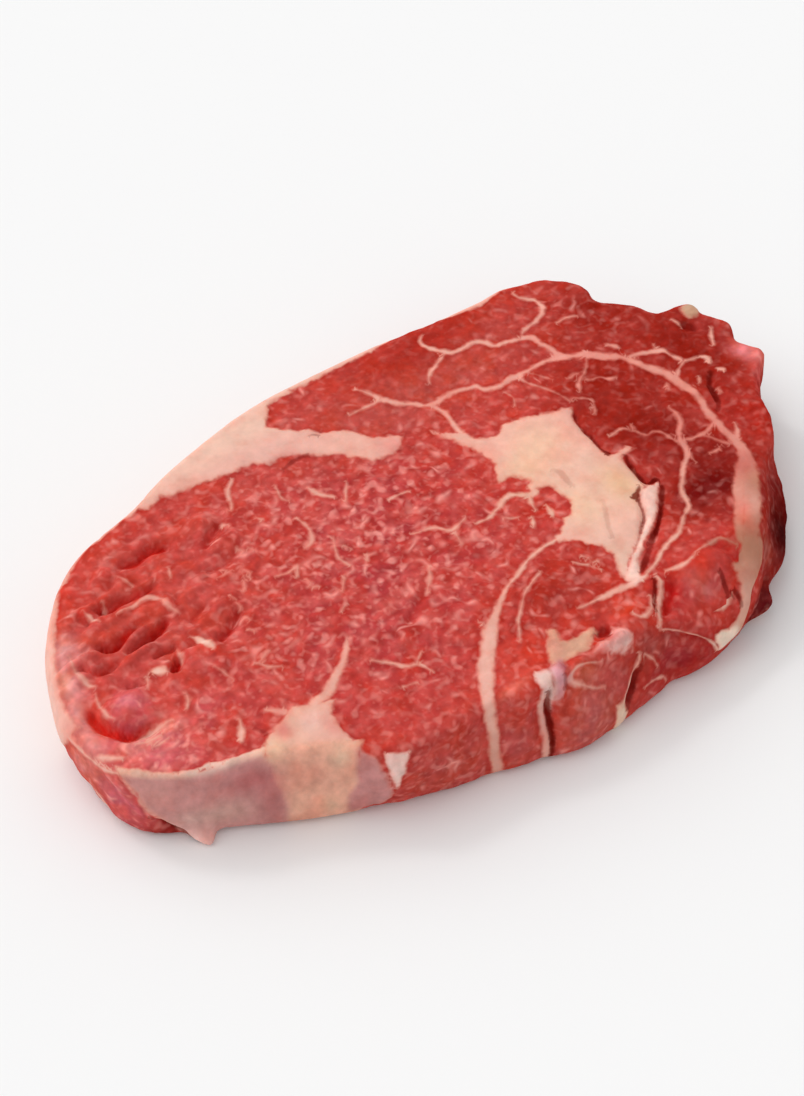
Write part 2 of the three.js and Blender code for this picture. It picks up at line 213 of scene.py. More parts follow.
# Sheets of fat between the muscles: points of each sheet's middle line, with its half thickness.
SEAMS = [
    # between the eye and the small round muscle, down to the front wall
    [(29, -25.6, 0.7), (25, -25, 0.7), (21.6, -24.6, 0.6), (17.4, -25.1, 0.7), (13, -26.6, 0.7),
     (8, -28, 0.7), (3, -30.4, 0.7), (-3, -33.8, 1), (-6.6, -36.4, 1.7), (-12, -41.6, 1.9),
     (-15.9, -45.8, 1.9), (-19.4, -50.4, 1.8), (-22, -55, 1.4), (-23, -61, 1.2)],
    [(-6, -35, 0.5), (-8, -33, 0.3)],
    # from the tail of the fat kernel, round the inside of the cap
    [(32, -47.4, 1), (34.2, -48, 0.8), (36.3, -47.4, 0.6), (39.7, -46, 0.6), (44, -44, 0.7),
     (48.2, -42.8, 0.7), (51.6, -42, 0.6), (55.6, -39, 0.6), (59, -37.6, 0.7), (60.2, -34.4, 0.6),
     (61.4, -31.6, 0.6), (63.8, -29.8, 0.6), (65.2, -28.6, 0.7), (67.3, -26.7, 0.8),
     (69.9, -25.1, 0.9), (71.6, -22.8, 0.9), (72.5, -20.3, 1), (73.9, -17.7, 0.8), (76, -15.7, 0.8),
     (77.9, -13.6, 0.9), (78.6, -11, 0.7), (78.4, -8.4, 0.4)],
    [(73, -19.2, 0.6), (75.5, -20.5, 0.6), (78.2, -21, 0.7), (80.6, -21.2, 0.6), (83, -20.4, 0.7),
     (84.8, -19.2, 0.6)],
    [(78.4, -21.6, 0.3), (79.4, -23, 0.4), (80.3, -25.6, 0.4), (81.8, -28, 0.5)],
    [(71.8, -19.6, 0.4), (71.4, -16, 0.5), (70.8, -13.4, 0.5), (69.2, -12, 0.4), (67.6, -12, 0.4),
     (66.6, -10.4, 0.4), (66.2, -8.8, 0.4), (67, -6.4, 0.4)],
    [(66.2, -9, 0.4), (64.2, -6.6, 0.6), (60.8, -6.6, 0.6), (59, -6.8, 0.4)],
    [(72, -23.2, 0.4), (70.8, -25.9, 0.4), (70.7, -27.8, 0.3)],
    [(75.7, -27.2, 0.4), (77, -27.6, 0.7), (78.6, -27.7, 0.4)],
    # outer arc of the cap
    [(49, -50.6, 0.4), (52.2, -50.4, 0.5), (55, -50, 0.5), (57, -50.4, 0.5), (58.6, -52.8, 0.5),
     (59.9, -55, 0.5)],
    [(61.4, -54.4, 1), (65, -49.6, 1.4), (70, -44.6, 1.6), (74.4, -40.4, 1.9), (78.6, -37.2, 2.4),
     (81.4, -34.8, 2), (83.2, -31.4, 1.6), (83.8, -27.4, 1.4), (84, -24, 1.2), (84.5, -21.2, 1.2),
     (84.9, -18.4, 1.2), (85.2, -15.8, 1.1), (85.9, -12.9, 1), (86.8, -9.5, 1.1), (86.8, -6.8, 1.3),
     (86.4, -4.2, 1.4), (86.1, -1.5, 1.4), (85.9, 1.1, 1.3), (85, 3.9, 1.3), (83.6, 6.1, 1.1),
     (82.3, 8.8, 1.1), (81.4, 11.7, 0.8), (79.6, 14, 0.9), (77.6, 16, 1.3), (75.4, 18.2, 1.4),
     (73, 20, 1.2), (71, 21, 0.9), (69, 22, 1.3), (67.6, 23.8, 1.3)],
    [(81.4, 12, 0.6), (84.3, 11.2, 0.7), (87.1, 9.9, 0.7), (89.5, 8.7, 0.9), (91.2, 7.6, 0.8),
     (91.4, 6.3, 0.5), (92, 4.1, 0.7), (93, 1.5, 0.6), (94.9, 0.5, 0.4), (96.8, 0.2, 0.4)],
    [(89.5, 8.9, 0.6), (90.4, 11.2, 0.3)],
    [(87, -2, 0.7), (87.8, -1.2, 0.7), (89.8, 0.2, 0.5), (92.4, 1.2, 0.4)],
    [(80.8, 18.8, 0.4), (82.1, 16.9, 0.7), (82.8, 15.2, 0.4)],
    [(88.3, -24, 0.5), (86.5, -26.4, 0.8), (84.4, -27.8, 0.8)],
    [(101.2, 15, 0.5), (101.5, 13, 0.6), (101.8, 11.6, 0.4)],
    [(108.6, 6.8, 0.4), (106.2, 4.2, 0.7), (104, 1.4, 0.5)],
    [(92.5, -5.5, 0.5), (90.6, -7.4, 0.4)],
    [(93.2, -11.7, 0.4), (92.5, -13.5, 0.5)],
    [(83.2, -2.4, 0.6), (82.8, -3.7, 0.5)],
    [(97.6, 0, 0.6), (98.6, -1.4, 0.9), (98, -3, 0.7)],
    [(97.8, -6.3, 0.5), (98.8, -7.4, 0.8)],
    # middle of the cap
    [(67.9, 22.6, 1.3), (65.7, 23.8, 1.1), (63.5, 24.4, 0.8), (61.1, 24.9, 0.7), (57.9, 24.7, 0.7),
     (54.2, 25.2, 1), (51.4, 25.6, 1.1), (48.5, 25.2, 0.8), (46.1, 25.6, 0.8), (43.9, 27, 0.8),
     (43, 29, 0.8), (41.1, 29.6, 0.7), (38.5, 30.4, 0.7), (35.5, 31, 0.8), (32.4, 30.8, 0.9),
     (29.6, 30.8, 0.8), (26.5, 33.4, 0.7), (23.3, 36.2, 0.8), (20, 40.8, 0.8), (19, 44, 0.6),
     (17, 48, 0.4)],
    [(29.8, 30, 0.8), (30.7, 26.7, 0.7), (30.2, 23.5, 0.8), (29.4, 20.3, 0.9), (29, 18, 0.9)],
    [(20, 40.5, 0.6), (15, 41, 0.5), (10, 41.5, 0.3)],
    [(54.2, 24.6, 0.5), (55.1, 20.4, 0.4), (56.5, 17.9, 0.4), (58, 14.9, 0.4), (59.3, 10.7, 0.3),
     (59.4, 9, 0.2)],
    [(57, 24.2, 0.3), (59.4, 20.6, 0.3), (61, 17.6, 0.2)],
    [(47.6, 22.6, 0.3), (48.2, 19.6, 0.3), (46.6, 16.8, 0.2)],
    # back of the cap
    [(68.4, 22.6, 1.2), (67.9, 26, 0.9), (67.7, 28.7, 0.8), (67.1, 30.3, 0.9), (67, 32.8, 1),
     (65.9, 34, 0.9), (63.7, 34.7, 0.8), (61.5, 35.4, 0.8), (59.3, 36.2, 0.8), (57.1, 37, 0.8),
     (55.6, 39.1, 0.8), (54.4, 41, 0.8), (52.1, 42, 0.8), (49.2, 41.8, 0.8), (46.6, 42.1, 0.8),
     (44.6, 43.2, 0.9), (43.2, 45, 0.8), (42, 46.8, 0.8), (41.4, 49.1, 0.6), (41.6, 51, 0.5),
     (44.2, 52.6, 0.3)],
    [(64.6, 35.2, 0.5), (66.2, 36.6, 0.6), (69.3, 37.2, 0.6), (73.2, 38.3, 0.6), (75.6, 39.8, 0.7),
     (77.1, 41.9, 0.7), (77.2, 44.4, 0.7), (75.6, 46.2, 0.6), (74, 48.4, 0.5), (73.8, 50.2, 0.6)],
    [(44.4, 43.2, 0.5), (42.4, 42.4, 0.5), (38, 40.7, 0.7), (35.3, 39.1, 0.7), (33.8, 36.8, 0.4)],
    [(75.4, 33.8, 0.4), (78.8, 33.2, 0.6), (81.8, 32.2, 0.4)],
    # veins of the dark part of the cap
    [(74.6, 20, 0.6), (73.1, 18.5, 0.5), (70.5, 15.9, 0.4), (68.7, 14.6, 0.6), (66.6, 13.8, 0.5),
     (65.2, 12.6, 0.7), (64.2, 10.6, 0.4)],
    [(68.7, 14.6, 0.4), (66.8, 16, 0.5), (64.4, 16, 0.3)],
    [(67.9, 13.1, 0.4), (69.2, 11.6, 0.4), (71.2, 11.3, 0.3), (73.1, 9.4, 0.6), (75, 8.8, 0.3)],
    [(62, 4.6, 0.3), (63.4, 4, 0.5), (62, 2.2, 0.4)],
    [(60.8, 10, 0.3), (64.4, 6.2, 0.5), (62.3, 3, 0.3)],
    # branches of the kernel into the eye
    [(31, -9.2, 1.1), (29, -9, 1), (27.4, -7.9, 0.8), (25.6, -6.2, 0.8), (23.6, -6.1, 0.8),
     (21.3, -7.2, 0.7), (19, -8, 0.6), (16, -9, 0.6), (12, -8.5, 0.4)],
    [(28.6, -9.6, 0.7), (27.6, -11.6, 0.7), (27, -14.2, 0.4)],
    [(30.3, -14.6, 0.4), (29.8, -16.8, 0.8), (29.2, -19, 0.3)],
    [(24.9, -15.4, 0.3), (23.8, -16.8, 0.7), (22.8, -18.2, 0.4)],
    [(19.2, -11, 0.3), (20.6, -12.4, 0.4), (22.2, -13.4, 0.3)],
    [(12, -5, 0.3), (6, -6, 0.7), (3, -3, 0.6), (-3, -1, 0.4)],
    [(6, -7, 0.4), (5, -11, 0.3)],
    # inside the small round muscle
    [(22.6, -33.6, 0.3), (24.6, -36, 0.5), (28.2, -36.8, 0.4)],
    [(25.4, -33, 0.3), (27, -35.2, 0.4)],
    [(25.2, -36.6, 0.3), (27.3, -39.6, 0.4)],
    [(14.4, -31, 0.2), (10.4, -32, 0.5), (6.4, -34, 0.4), (2.6, -36.8, 0.5), (-0.6, -40.4, 0.5),
     (-3.6, -44, 0.3)],
    # folds of membrane in front of the kernel's tail
    [(33, -47.6, 1.1), (30, -47.8, 1.1), (27.9, -47.4, 0.9), (24.1, -46.5, 0.9), (19.8, -46, 0.6),
     (16.2, -45.6, 0.4), (14, -45, 0.2)],
    [(36.8, -49.8, 0.5), (36.6, -51.4, 0.8), (34.9, -53.1, 0.8), (32.7, -55.2, 0.8),
     (30.3, -57.5, 0.8), (28.9, -59.6, 0.7), (28, -61, 0.5)],
    [(39.4, -49.6, 0.4), (43.1, -51.2, 0.7), (45.6, -51.6, 0.6), (48.6, -51.2, 0.3)],
    [(31.2, -53.4, 0.5), (29.4, -55.6, 0.6), (27.2, -56.8, 0.7), (24.6, -56.9, 0.6),
     (23.4, -55, 0.4)],
    # veins of the eye
    [(-36, -26, 0.4), (-33, -29, 0.6), (-30, -32.5, 0.6), (-27, -34, 0.6), (-26, -38, 0.4)],
    [(-27, -33, 0.5), (-24, -31, 0.3)],
    [(-35, -37, 0.5), (-31, -38, 0.4)],
    [(-59, -9, 0.4), (-57, -12, 0.5), (-54, -14.5, 0.4)],
    [(-58, -10, 0.4), (-54, -8, 0.3)],
    [(-33, -10, 0.4), (-30, -8.5, 0.3)],
    [(-12, -18, 0.4), (-8, -15, 0.5), (-6, -12, 0.4)],
    [(-66.4, 7.2, 0.2), (-65.4, 5.4, 0.6), (-64.6, 3.6, 1.1), (-64, 1.6, 1.0), (-64.2, -0.4, 0.2)],
    [(-79.8, 5.4, 0.3), (-78.6, 4.4, 1.1), (-77.4, 3.2, 1.0), (-76.8, 2.2, 0.3)],
    [(-81, 4.6, 0.2), (-82.2, 2.4, 0.5), (-83.4, 0.6, 0.2)],
    [(-70.6, 7, 0), (-71.2, 4.8, 0.5), (-72.2, 2.2, 0.4), (-73, 1.2, 0)],
    [(-76.6, 24.6, 0.1), (-73.9, 24.6, 0.5), (-71.1, 24.4, 0.6), (-68.3, 24.5, 0.8), (-65.8, 23.5, 0.8),
     (-64.6, 21.3, 0.6), (-65.1, 18.5, 0.7), (-64.6, 16.3, 0.5), (-63.9, 14.6, 0)],
    [(-82, 31, 0.1), (-81.9, 28.9, 0.6), (-81.5, 26.7, 0.6), (-80.8, 25.4, 0.1)],
    [(-76.4, 30.4, 0.3), (-77, 28.6, 0.4)],
    [(-69.4, 34.4, 0.1), (-68.1, 32.3, 0.5), (-67.4, 30, 0.3)],
    [(-57.4, 28.8, 0.2), (-58.3, 26.8, 0.6), (-59, 25.4, 0.1)],
    [(-92.4, 22, 0.1), (-93.5, 18.6, 0.4), (-93.9, 15, 0.6), (-93.2, 12, 0.7), (-92.2, 10.4, 0.1)],
    [(-93.2, 9, 0), (-94.4, 6.2, 0.4), (-95.3, 3.4, 0.5), (-95.6, 1, 0.5), (-95, -1.4, 0)],
    [(-95.4, -6.8, 0.2), (-91.6, -8.6, 0.9), (-87.9, -9.4, 0.9), (-84.1, -10.1, 0.3)],
    [(-95, -9.6, 0.2), (-92, -11.2, 0.7), (-88.6, -11.8, 0.4)],
    [(-92.6, -13, 0.2), (-90, -13.8, 0.5), (-87, -13.6, 0.2)],
    [(-104, -4.6, 0.1), (-102.4, -7.8, 0.9), (-99.4, -11, 0.4)],
    [(-77.2, -5.4, 0.1), (-78, -8, 0.7), (-80, -10.2, 0.2)],
    [(-67.2, -4.2, 0.1), (-66.3, -7.2, 0.4), (-65.6, -10, 0.1)],
    [(-71.6, -20.4, 0.3), (-73.2, -23.4, 1.0), (-75, -25.4, 0.7)],
    [(-50.2, 18.6, 0.1), (-47.8, 17.8, 0.5), (-45.6, 17.6, 0.1)],
    [(-44.6, 15.4, 0.1), (-43.4, 12.6, 0.5)],
    [(-45.2, 13.6, 0.1), (-46.8, 10.4, 0.5)],
    [(-51.4, 10, 0.2), (-51, 6.6, 0.5)],
    [(-38.7, 9.3, 0.3), (-36, 8.1, 0.5), (-32.7, 8.3, 0.9), (-34.6, 5.6, 0.5)],
    [(-27, 43.2, 0.4), (-28.4, 42.2, 0.6), (-30.8, 40, 0.7), (-32.5, 36, 0.5), (-34, 34, 0.4)],
    [(-39, 31.6, 0.7), (-37.4, 30.4, 0.6)],
    [(-19.8, 34.3, 0.4), (-21, 29, 0.4), (-19.8, 27, 0.4)],
    [(-13.9, 28, 0.4), (-13.4, 25, 0.8), (-10.6, 21.2, 0.6)],
    [(-4.8, 23.5, 0.3), (-7, 21, 0.5), (-9.1, 18.6, 0.5)],
    [(-0.4, 11.6, 0.7), (6, 11.2, 0.3)],
    [(-30.4, 28.4, 0.5), (-29.6, 26.6, 0.6)],
    [(-22.6, 21.3, 0.6), (-22.2, 16.9, 0.5), (-24.3, 12.9, 0.7), (-27, 12, 0.3)],
    [(-19.4, 10.6, 0.4), (-22.4, 4.6, 0.5), (-21.5, 0.5, 0.5)],
    [(-25, -1.4, 0.5), (-28.2, -5.3, 0.5)],
    [(-15.9, 0.6, 0.6), (-17, -0.8, 0.5)],
    [(-33.2, 4, 0.4), (-32.8, 2, 0.4)],
    [(-33.4, 0.8, 0.4), (-31.8, -0.2, 0.3)],
    [(-19, 6.4, 0.4), (-18, 4.6, 0.3)],
    [(-43.4, 16, 0.4), (-42.6, 14, 0.4)],
    [(-40.4, 23, 0.4), (-39.4, 21.2, 0.4)],
    [(-38.4, 21.4, 0.3), (-37.4, 19.6, 0.3)],
    [(-51.4, 11, 0.4), (-50.6, 9, 0.4)],
    [(-47.4, 20, 0.4), (-46.6, 18.2, 0.4)],
    [(-52.4, 4, 0.4), (-51.6, 2, 0.4)],
    [(-53.4, 0, 0.4), (-52.6, -2, 0.3)],
    # spurs of the fat over the front wall
    [(-55, -28, 1.5), (-50, -27, 1.4), (-45, -24, 1.2), (-41, -22, 0.9), (-38, -19, 0.7),
     (-36.5, -17, 0.4)],
    [(-62, -25, 1.2), (-65, -22, 0.5)],
]

# Columns of fat, as outlines. The kernel is the lump between the eye muscle and the cap.
KERNEL = [
    (23.3, 23.7), (25.4, 21.2), (27.6, 19.4), (29.4, 18.6), (30.6, 14.6), (32.8, 12.4), (35.1, 11.7),
    (37.5, 12.2), (39.3, 14.2), (41.4, 13.4), (43.5, 12.7), (46.1, 11.6), (49, 10.6), (51.8, 9.4),
    (54.2, 8.7), (56.8, 8.1), (58.4, 7.4), (57.4, 6.1), (55.8, 3.5), (55.3, 1.3), (54.6, -2.3),
    (54.4, -4.9), (53.9, -8.2), (54.2, -10.7), (54.4, -12), (57.6, -12), (60.2, -12.1), (61.6, -14),
    (57.8, -13.5), (56.2, -13.8), (55.9, -14.9), (55.8, -17), (56, -19.3), (55.6, -21.9),
    (55.1, -23.9), (55, -25.4), (51.5, -26.4), (50.1, -27.7), (49.3, -29.8), (47.5, -32.5),
    (44.9, -34.9), (42.2, -37.5), (39.7, -38.8), (37.1, -40.2), (34.5, -41.5), (31, -44.6),
    (29.4, -44.4), (30.4, -42), (31.7, -40.2), (32.6, -37.6), (32.5, -35), (31.4, -32.9),
    (29.6, -30.7), (28.2, -28.1), (26.4, -26.5), (24, -25.6), (24.8, -24.2), (27.2, -24),
    (29.1, -22.8), (31.2, -21.1), (33.3, -20.7), (35.2, -19.3), (36.3, -16.8), (35.8, -14.3),
    (35.8, -11.2), (34.2, -9.4), (31.8, -9.1), (30, -9.4), (29.6, -7), (32.4, -6.4), (31.8, -4.3),
    (30.7, -2.5), (28.9, -1.4), (26.2, -1.2), (26.6, 0.6), (28.7, 2.8), (29.4, 4.9), (29.1, 6.9),
    (28.6, 9.6), (27.7, 12.5), (26.6, 15.3), (25.7, 18.3), (24.3, 20.7),
]
# The kernel's raised tail at its front.
KERNEL_TAIL = [
    (55, -25.6), (56.5, -26.5), (58.4, -26.3), (57.3, -27.7), (54, -31.3), (51.9, -33.2),
    (49.3, -35), (47.1, -36.6), (44.7, -38.1), (41.7, -39.6), (38.7, -41.4), (36.4, -43.4),
    (34.6, -45.6), (33.6, -48.4), (30.6, -48.6), (29.6, -46.6), (30.6, -44.6), (34, -41.9),
    (37.1, -40.4), (39.7, -39), (42.2, -37.7), (44.9, -35.2), (47.6, -32.8), (49.4, -30.1),
    (50.2, -28), (51.6, -26.6),
]
# The fat of the back edge, with the spit that runs into the slab.
BACK_BAND = [
    (-58, 56), (-54, 51), (-50, 47.8), (-47, 48.5), (-45, 49.5), (-43, 48), (-40, 47.5), (-35, 47),
    (-30, 45.5), (-25, 44.5), (-20, 43.5), (-17, 41), (-12, 40.5), (-10, 39.5), (-5, 35),
    (0, 31.5), (3, 28), (5, 25), (6, 24.5), (12, 23), (14, 24), (17, 27), (14, 29), (10, 31),
    (8, 35), (5, 38.5), (0, 41), (-1, 44), (-4, 45.5), (-7, 48.5), (-9, 52), (-5, 57.5),
    (0, 59), (12, 59.5), (30, 58), (44, 58), (30, 66), (-10, 68), (-50, 62),
]
# The fat over the membranes of the front wall.
FRONT_PATCH = [
    (-76, -38), (-73, -32), (-70, -29), (-66, -27.5), (-60, -25), (-55, -28), (-50, -30),
    (-53, -32), (-54, -36), (-54, -42), (-55, -47), (-60, -50),
]
# Flaps of membrane at the front edge.
CREAM_FLAP = [
    (3.7, -45.6), (6.1, -46.7), (4.4, -49.6), (5.6, -51.6), (9.6, -51.5), (13, -51.8), (14.7, -53),
    (11.1, -54.6), (7.5, -56.8), (5.1, -56.6), (2.4, -56.1), (-1, -56.1), (-2, -53.7), (0.6, -49.3),
]
PINK_FLAP = [
    (17, -55), (18.7, -57.5), (19.9, -59.6), (18.4, -61), (15, -60.9), (11.8, -59.9), (9.8, -59),
    (7.8, -58.4), (11, -57), (13, -57.6), (15, -56.6),
]
WHITE_FLAP = [
    (-6.9, -53.4), (-4.4, -54.6), (-3.4, -56.2), (-4.8, -57.6), (-5.6, -59.6), (-7.4, -60.6),
    (-8.4, -58.6), (-8.2, -56),
]
MAUVE_FLAP = [(-3.2, -54.8), (0.7, -55), (0, -57.9), (-3.4, -60.6), (-6, -60), (-5, -57.2)]
# The band of fat round the right corner.
CORNER_BAND = [
    (84.6, -31), (83.6, -35), (81.6, -39), (79, -42.4), (74.6, -47.2), (70.1, -51.8),
    (66.6, -55.6), (64.8, -57.8), (60.8, -60.5), (56.4, -60.6), (54.5, -58.5), (59.1, -57.2),
    (61, -54.6), (63.2, -52.2), (67.2, -47.9), (71.1, -43.4), (74.7, -39.5), (79, -35.2),
    (82.4, -31),
]
# A tuft of fat at the back of the ragged end.
BACK_TUFT = [(105, 15), (106.2, 17.2), (109.6, 17.4), (110.8, 14.6), (108.4, 12.2), (105.8, 12.8)]

# Each column with its own colour where it has one.
FAT_COLUMNS = [
    (KERNEL, None),
    (KERNEL_TAIL, (246, 204, 190)),
    (BACK_BAND, None),
    (FRONT_PATCH, None),
    (CORNER_BAND, None),
    (CREAM_FLAP, (220, 166, 140)),
    (PINK_FLAP, (234, 166, 158)),
    (MAUVE_FLAP, (214, 146, 148)),
    (WHITE_FLAP, (236, 200, 192)),
    (BACK_TUFT, (206, 166, 138)),
]

# Fat along the rim of the cut face: point on the rim, and width of the fat there. Below 0 the rim
# stays bare.
RIM_FAT = [
    ((-104, -9), -0.4), ((-105, -4), 0), ((-105, 4), 0.5), ((-101, 16), 1.7), ((-93, 30), 2),
    ((-84, 40), 1.4), ((-74, 46.4), 0.9), ((-60, 50), 1.2), ((-52, 52), 3.0), ((-28, 58.6), 3.0),
    ((0, 61), 3.0), ((30, 59), 1.6), ((39, 57.6), 0.8), ((52, 55.6), 0.8), ((60, 54), 2.6),
    ((66, 52.6), 3.4), ((71, 51.6), 1.6), ((76, 50), 0.2), ((82, 46), -1.0), ((90.5, 34), -1.0),
    ((99, -25.5), -1.0), ((50, -66), -1.0), ((-20, -55), -1.0), ((-72, -33), -1.0),
    ((-78, -30.4), -0.6), ((-88, -26.8), -0.2), ((-97, -20), 0), ((-101.8, -13), 0.2),
]

# Membranes and fat that lie on the wall, as outlines on it.
SILVERSKIN = [
    (-102, -11, 24.6), (-101.2, -13, 21.5), (-100.4, -16.5, 18.5), (-99.8, -18.8, 14),
    (-98.8, -20.3, 11), (-95.7, -22.9, 6), (-93.5, -24.5, 2), (-92, -25.5, -6), (-71.5, -38, -6),
    (-71.2, -37.5, 8), (-71.5, -36.4, 13.5), (-72.3, -35, 17), (-71.8, -34, 22), (-72.8, -31.6, 25.4),
    (-80, -28.6, 25.4), (-89.5, -25.6, 25.4), (-97, -20, 25.4),
]
TAN_FAT = [
    (-74, -31, 26.5), (-72, -34, 22), (-72.3, -35, 17), (-71.4, -36.4, 13.7), (-71.1, -37.6, 8.5),
    (-71.4, -38, -6), (-57, -45, -6), (-57.4, -45, 9.7), (-55.8, -46, 14.3), (-54.9, -45.8, 19.4),
    (-54, -44.4, 27),
]
MAUVE_SKIN = [
    (-55, -44.6, 25), (-51.5, -48, 21.7), (-49.9, -49.5, 17), (-48.8, -50.6, 10), (-49.5, -50.5, 6),
    (-52, -49, 3), (-58, -45, 3), (-57.9, -45, 9.7), (-55.8, -46, 14.3),
]
SILVER_EDGE = [
    (-102, -11, 24.6), (-99, -15.5, 25.2), (-95, -20.9, 25.4), (-89.5, -25.2, 25.6),
    (-85.5, -25.9, 25.8), (-78, -29.4, 26.4), (-72.5, -31.4, 27), (-72.3, -32.2, 24.9),
    (-78, -30.2, 25), (-86, -26.6, 24.7), (-90, -25.6, 24.5), (-95.5, -21.4, 24.3),
    (-99.4, -16.6, 23.6), (-101.6, -12.7, 22.6),
]
LEAN_EDGE = [
    (-102, -11.4, 23.8), (-101, -13.5, 21.5), (-100, -16.9, 18.5), (-99.4, -19.3, 14),
    (-98.2, -20.9, 11), (-95.1, -23.4, 6), (-92.6, -25, 1), (-94, -24, 1), (-96.2, -22.6, 6),
    (-99.2, -20, 11), (-100.2, -18.4, 14), (-100.8, -16.1, 18.5), (-101.5, -12.6, 21.5),
]
WHITE_WEDGE = [(-50.4, -49.2, 24.6), (-44.6, -52.2, 24), (-46.2, -52, 17), (-48, -51.6, 10.5)]
LEFT_COVER = [
    (-103.8, 3, 27), (-104.4, 4.4, 20), (-104.6, 8, 14), (-102, 12, 6), (-100, 16, -6), (-97, 19, -6),
    (-72, 44, -6), (-14, 58.5, -6), (3.6, 59, -6), (4, 60, 27), (-28, 58, 27), (-74, 46, 25),
    (-93, 30, 25), (-101, 15, 25),
]
BACK_COVER = [
    (4.8, 60, 27), (4.8, 59, -6), (44, 55, -6), (38, 56, 6), (45, 56, 14), (40, 57, 23), (30, 58, 27),
]
CORNER_FAT = [
    (58, -56, 26.5), (66.6, -55, 26.5), (65.9, -56.9, 23), (63.6, -59.6, 20.4), (60, -61.2, 20),
    (56.2, -62, 19.6), (54.2, -64.4, 16.8), (52.6, -65.8, 14), (51.4, -66.8, 10), (49.6, -66.8, 7),
    (46.6, -67, 11), (45.5, -65.6, 16), (47.7, -63.9, 18), (50.2, -61.6, 19.8), (51.5, -60.2, 20.8),
    (54, -57.6, 23),
]
CREAM_WEDGE = [
    (40.7, -65.3, 18), (44.8, -65.4, 17.6), (48, -65.7, 16.4), (50.3, -66.7, 12), (48.8, -67.3, 9),
    (46.5, -67.5, 7), (44.4, -67.6, 8), (42.6, -66.8, 13),
]
CREAM_FOOT = [
    (10.2, -65.9, 10), (13, -66, 9), (13.5, -66, 4), (11.5, -66.4, -2), (8, -66, 0), (9, -66, 6),
]
WALL_PATCHES = [
    (LEFT_COVER, None),
    (BACK_COVER, None),
    (SILVERSKIN, (204, 143, 138)),
    (LEAN_EDGE, (232, 172, 156)),
    (SILVER_EDGE, (240, 192, 170)),
    (TAN_FAT, (234, 173, 150)),
    (MAUVE_SKIN, (206, 142, 138)),
    (WHITE_WEDGE, (244, 206, 196)),
    (CORNER_FAT, None),
    (CREAM_WEDGE, (244, 216, 196)),
    (CREAM_FOOT, (240, 204, 180)),
]

# Strands of fat on the wall: points with their half thickness.
WALL_STRANDS = [
    [(-104, 7, 20.6, 1.1), (-104.2, 3, 21.4, 1), (-104.2, -1.3, 21.8, 0.8), (-104.1, -5.5, 21.9, 0.6),
     (-103.2, -9.4, 22.1, 0.8), (-101.6, -12.5, 22.5, 0.7)],
    [(28.3, -60.9, 22, 0.5), (31.2, -62, 21, 0.5), (35.1, -63.7, 19.4, 0.5), (38.1, -65, 17.4, 0.5),
     (40.9, -66.2, 14, 0.6), (43.8, -67.4, 9, 0.6)],
    [(50.7, -57.4, 23, 0.5), (49.6, -59, 22, 0.7), (46.8, -60.4, 21.2, 0.7), (43.8, -60.8, 21, 0.6),
     (41, -60, 22, 0.4)],
    [(-7.2, -57, 24, 0.6), (-8.6, -58.8, 21, 0.8), (-9.1, -59.7, 16, 0.9), (-9.5, -61, 13, 1),
     (-9.7, -62.7, 7, 1), (-10, -62, -3, 0.9)],
    [(20.6, -61.4, 19, 0.5), (20, -62.1, 17, 0.6), (18, -63.1, 15, 0.6), (15.6, -64.6, 12, 0.7),
     (13.4, -65.8, 9.6, 0.8), (11.2, -66.3, 8, 1)],
    [(20, -65.2, 9, 0.3), (23, -64.9, 9, 0.5), (26.5, -64.9, 7.4, 0.5), (28.3, -64.9, 4, 0.3)],
    [(21, -61.5, 19, 0.3), (24.1, -62.9, 15.4, 0.4), (25.5, -64.1, 12, 0.3)],
    [(9.4, -60.2, 22, 0.3), (5, -59.8, 23.2, 0.5), (1.4, -59.4, 23.6, 0.7), (-0.6, -59.6, 22.6, 0.9),
     (0.2, -59.9, 20, 0.7), (2.4, -60.9, 18.2, 0.6), (5.4, -61.8, 16.4, 0.4), (8.3, -62.3, 15.6, 0.2)],
]

# Grooves of the wall: points along the bottom, half width, depth.
GROOVES = [
    ([(-6.6, -58, 23), (-7.6, -60, 18), (-8.2, -61.6, 12.5), (-8.4, -62.8, 8), (-8.6, -62, 2)],
     0.9, 1.5),
    ([(19.4, -62.5, 16), (17.8, -64, 12.4), (15.4, -65.6, 9.4), (13.6, -66, 6)], 1.3, 1.5),
    ([(27, -61.5, 21), (32, -63, 19.6), (36, -64.5, 17.8), (39.6, -66, 15)], 1.1, 1.2),
    ([(-99.4, -20.4, 9), (-96.6, -23.4, 4), (-94.4, -25, 1)], 1.4, 1.4),
    ([(67, -58.6, 13), (62, -61.6, 9), (56, -64, 4)], 1.6, 1.6),
    ([(-104.2, -6, 20), (-103.2, -12, 14), (-100.6, -18, 8)], 2.0, 0.9),
    ([(-45, -53, 6), (-36, -56, 12), (-30, -57, 8)], 1.6, 0.7),
]
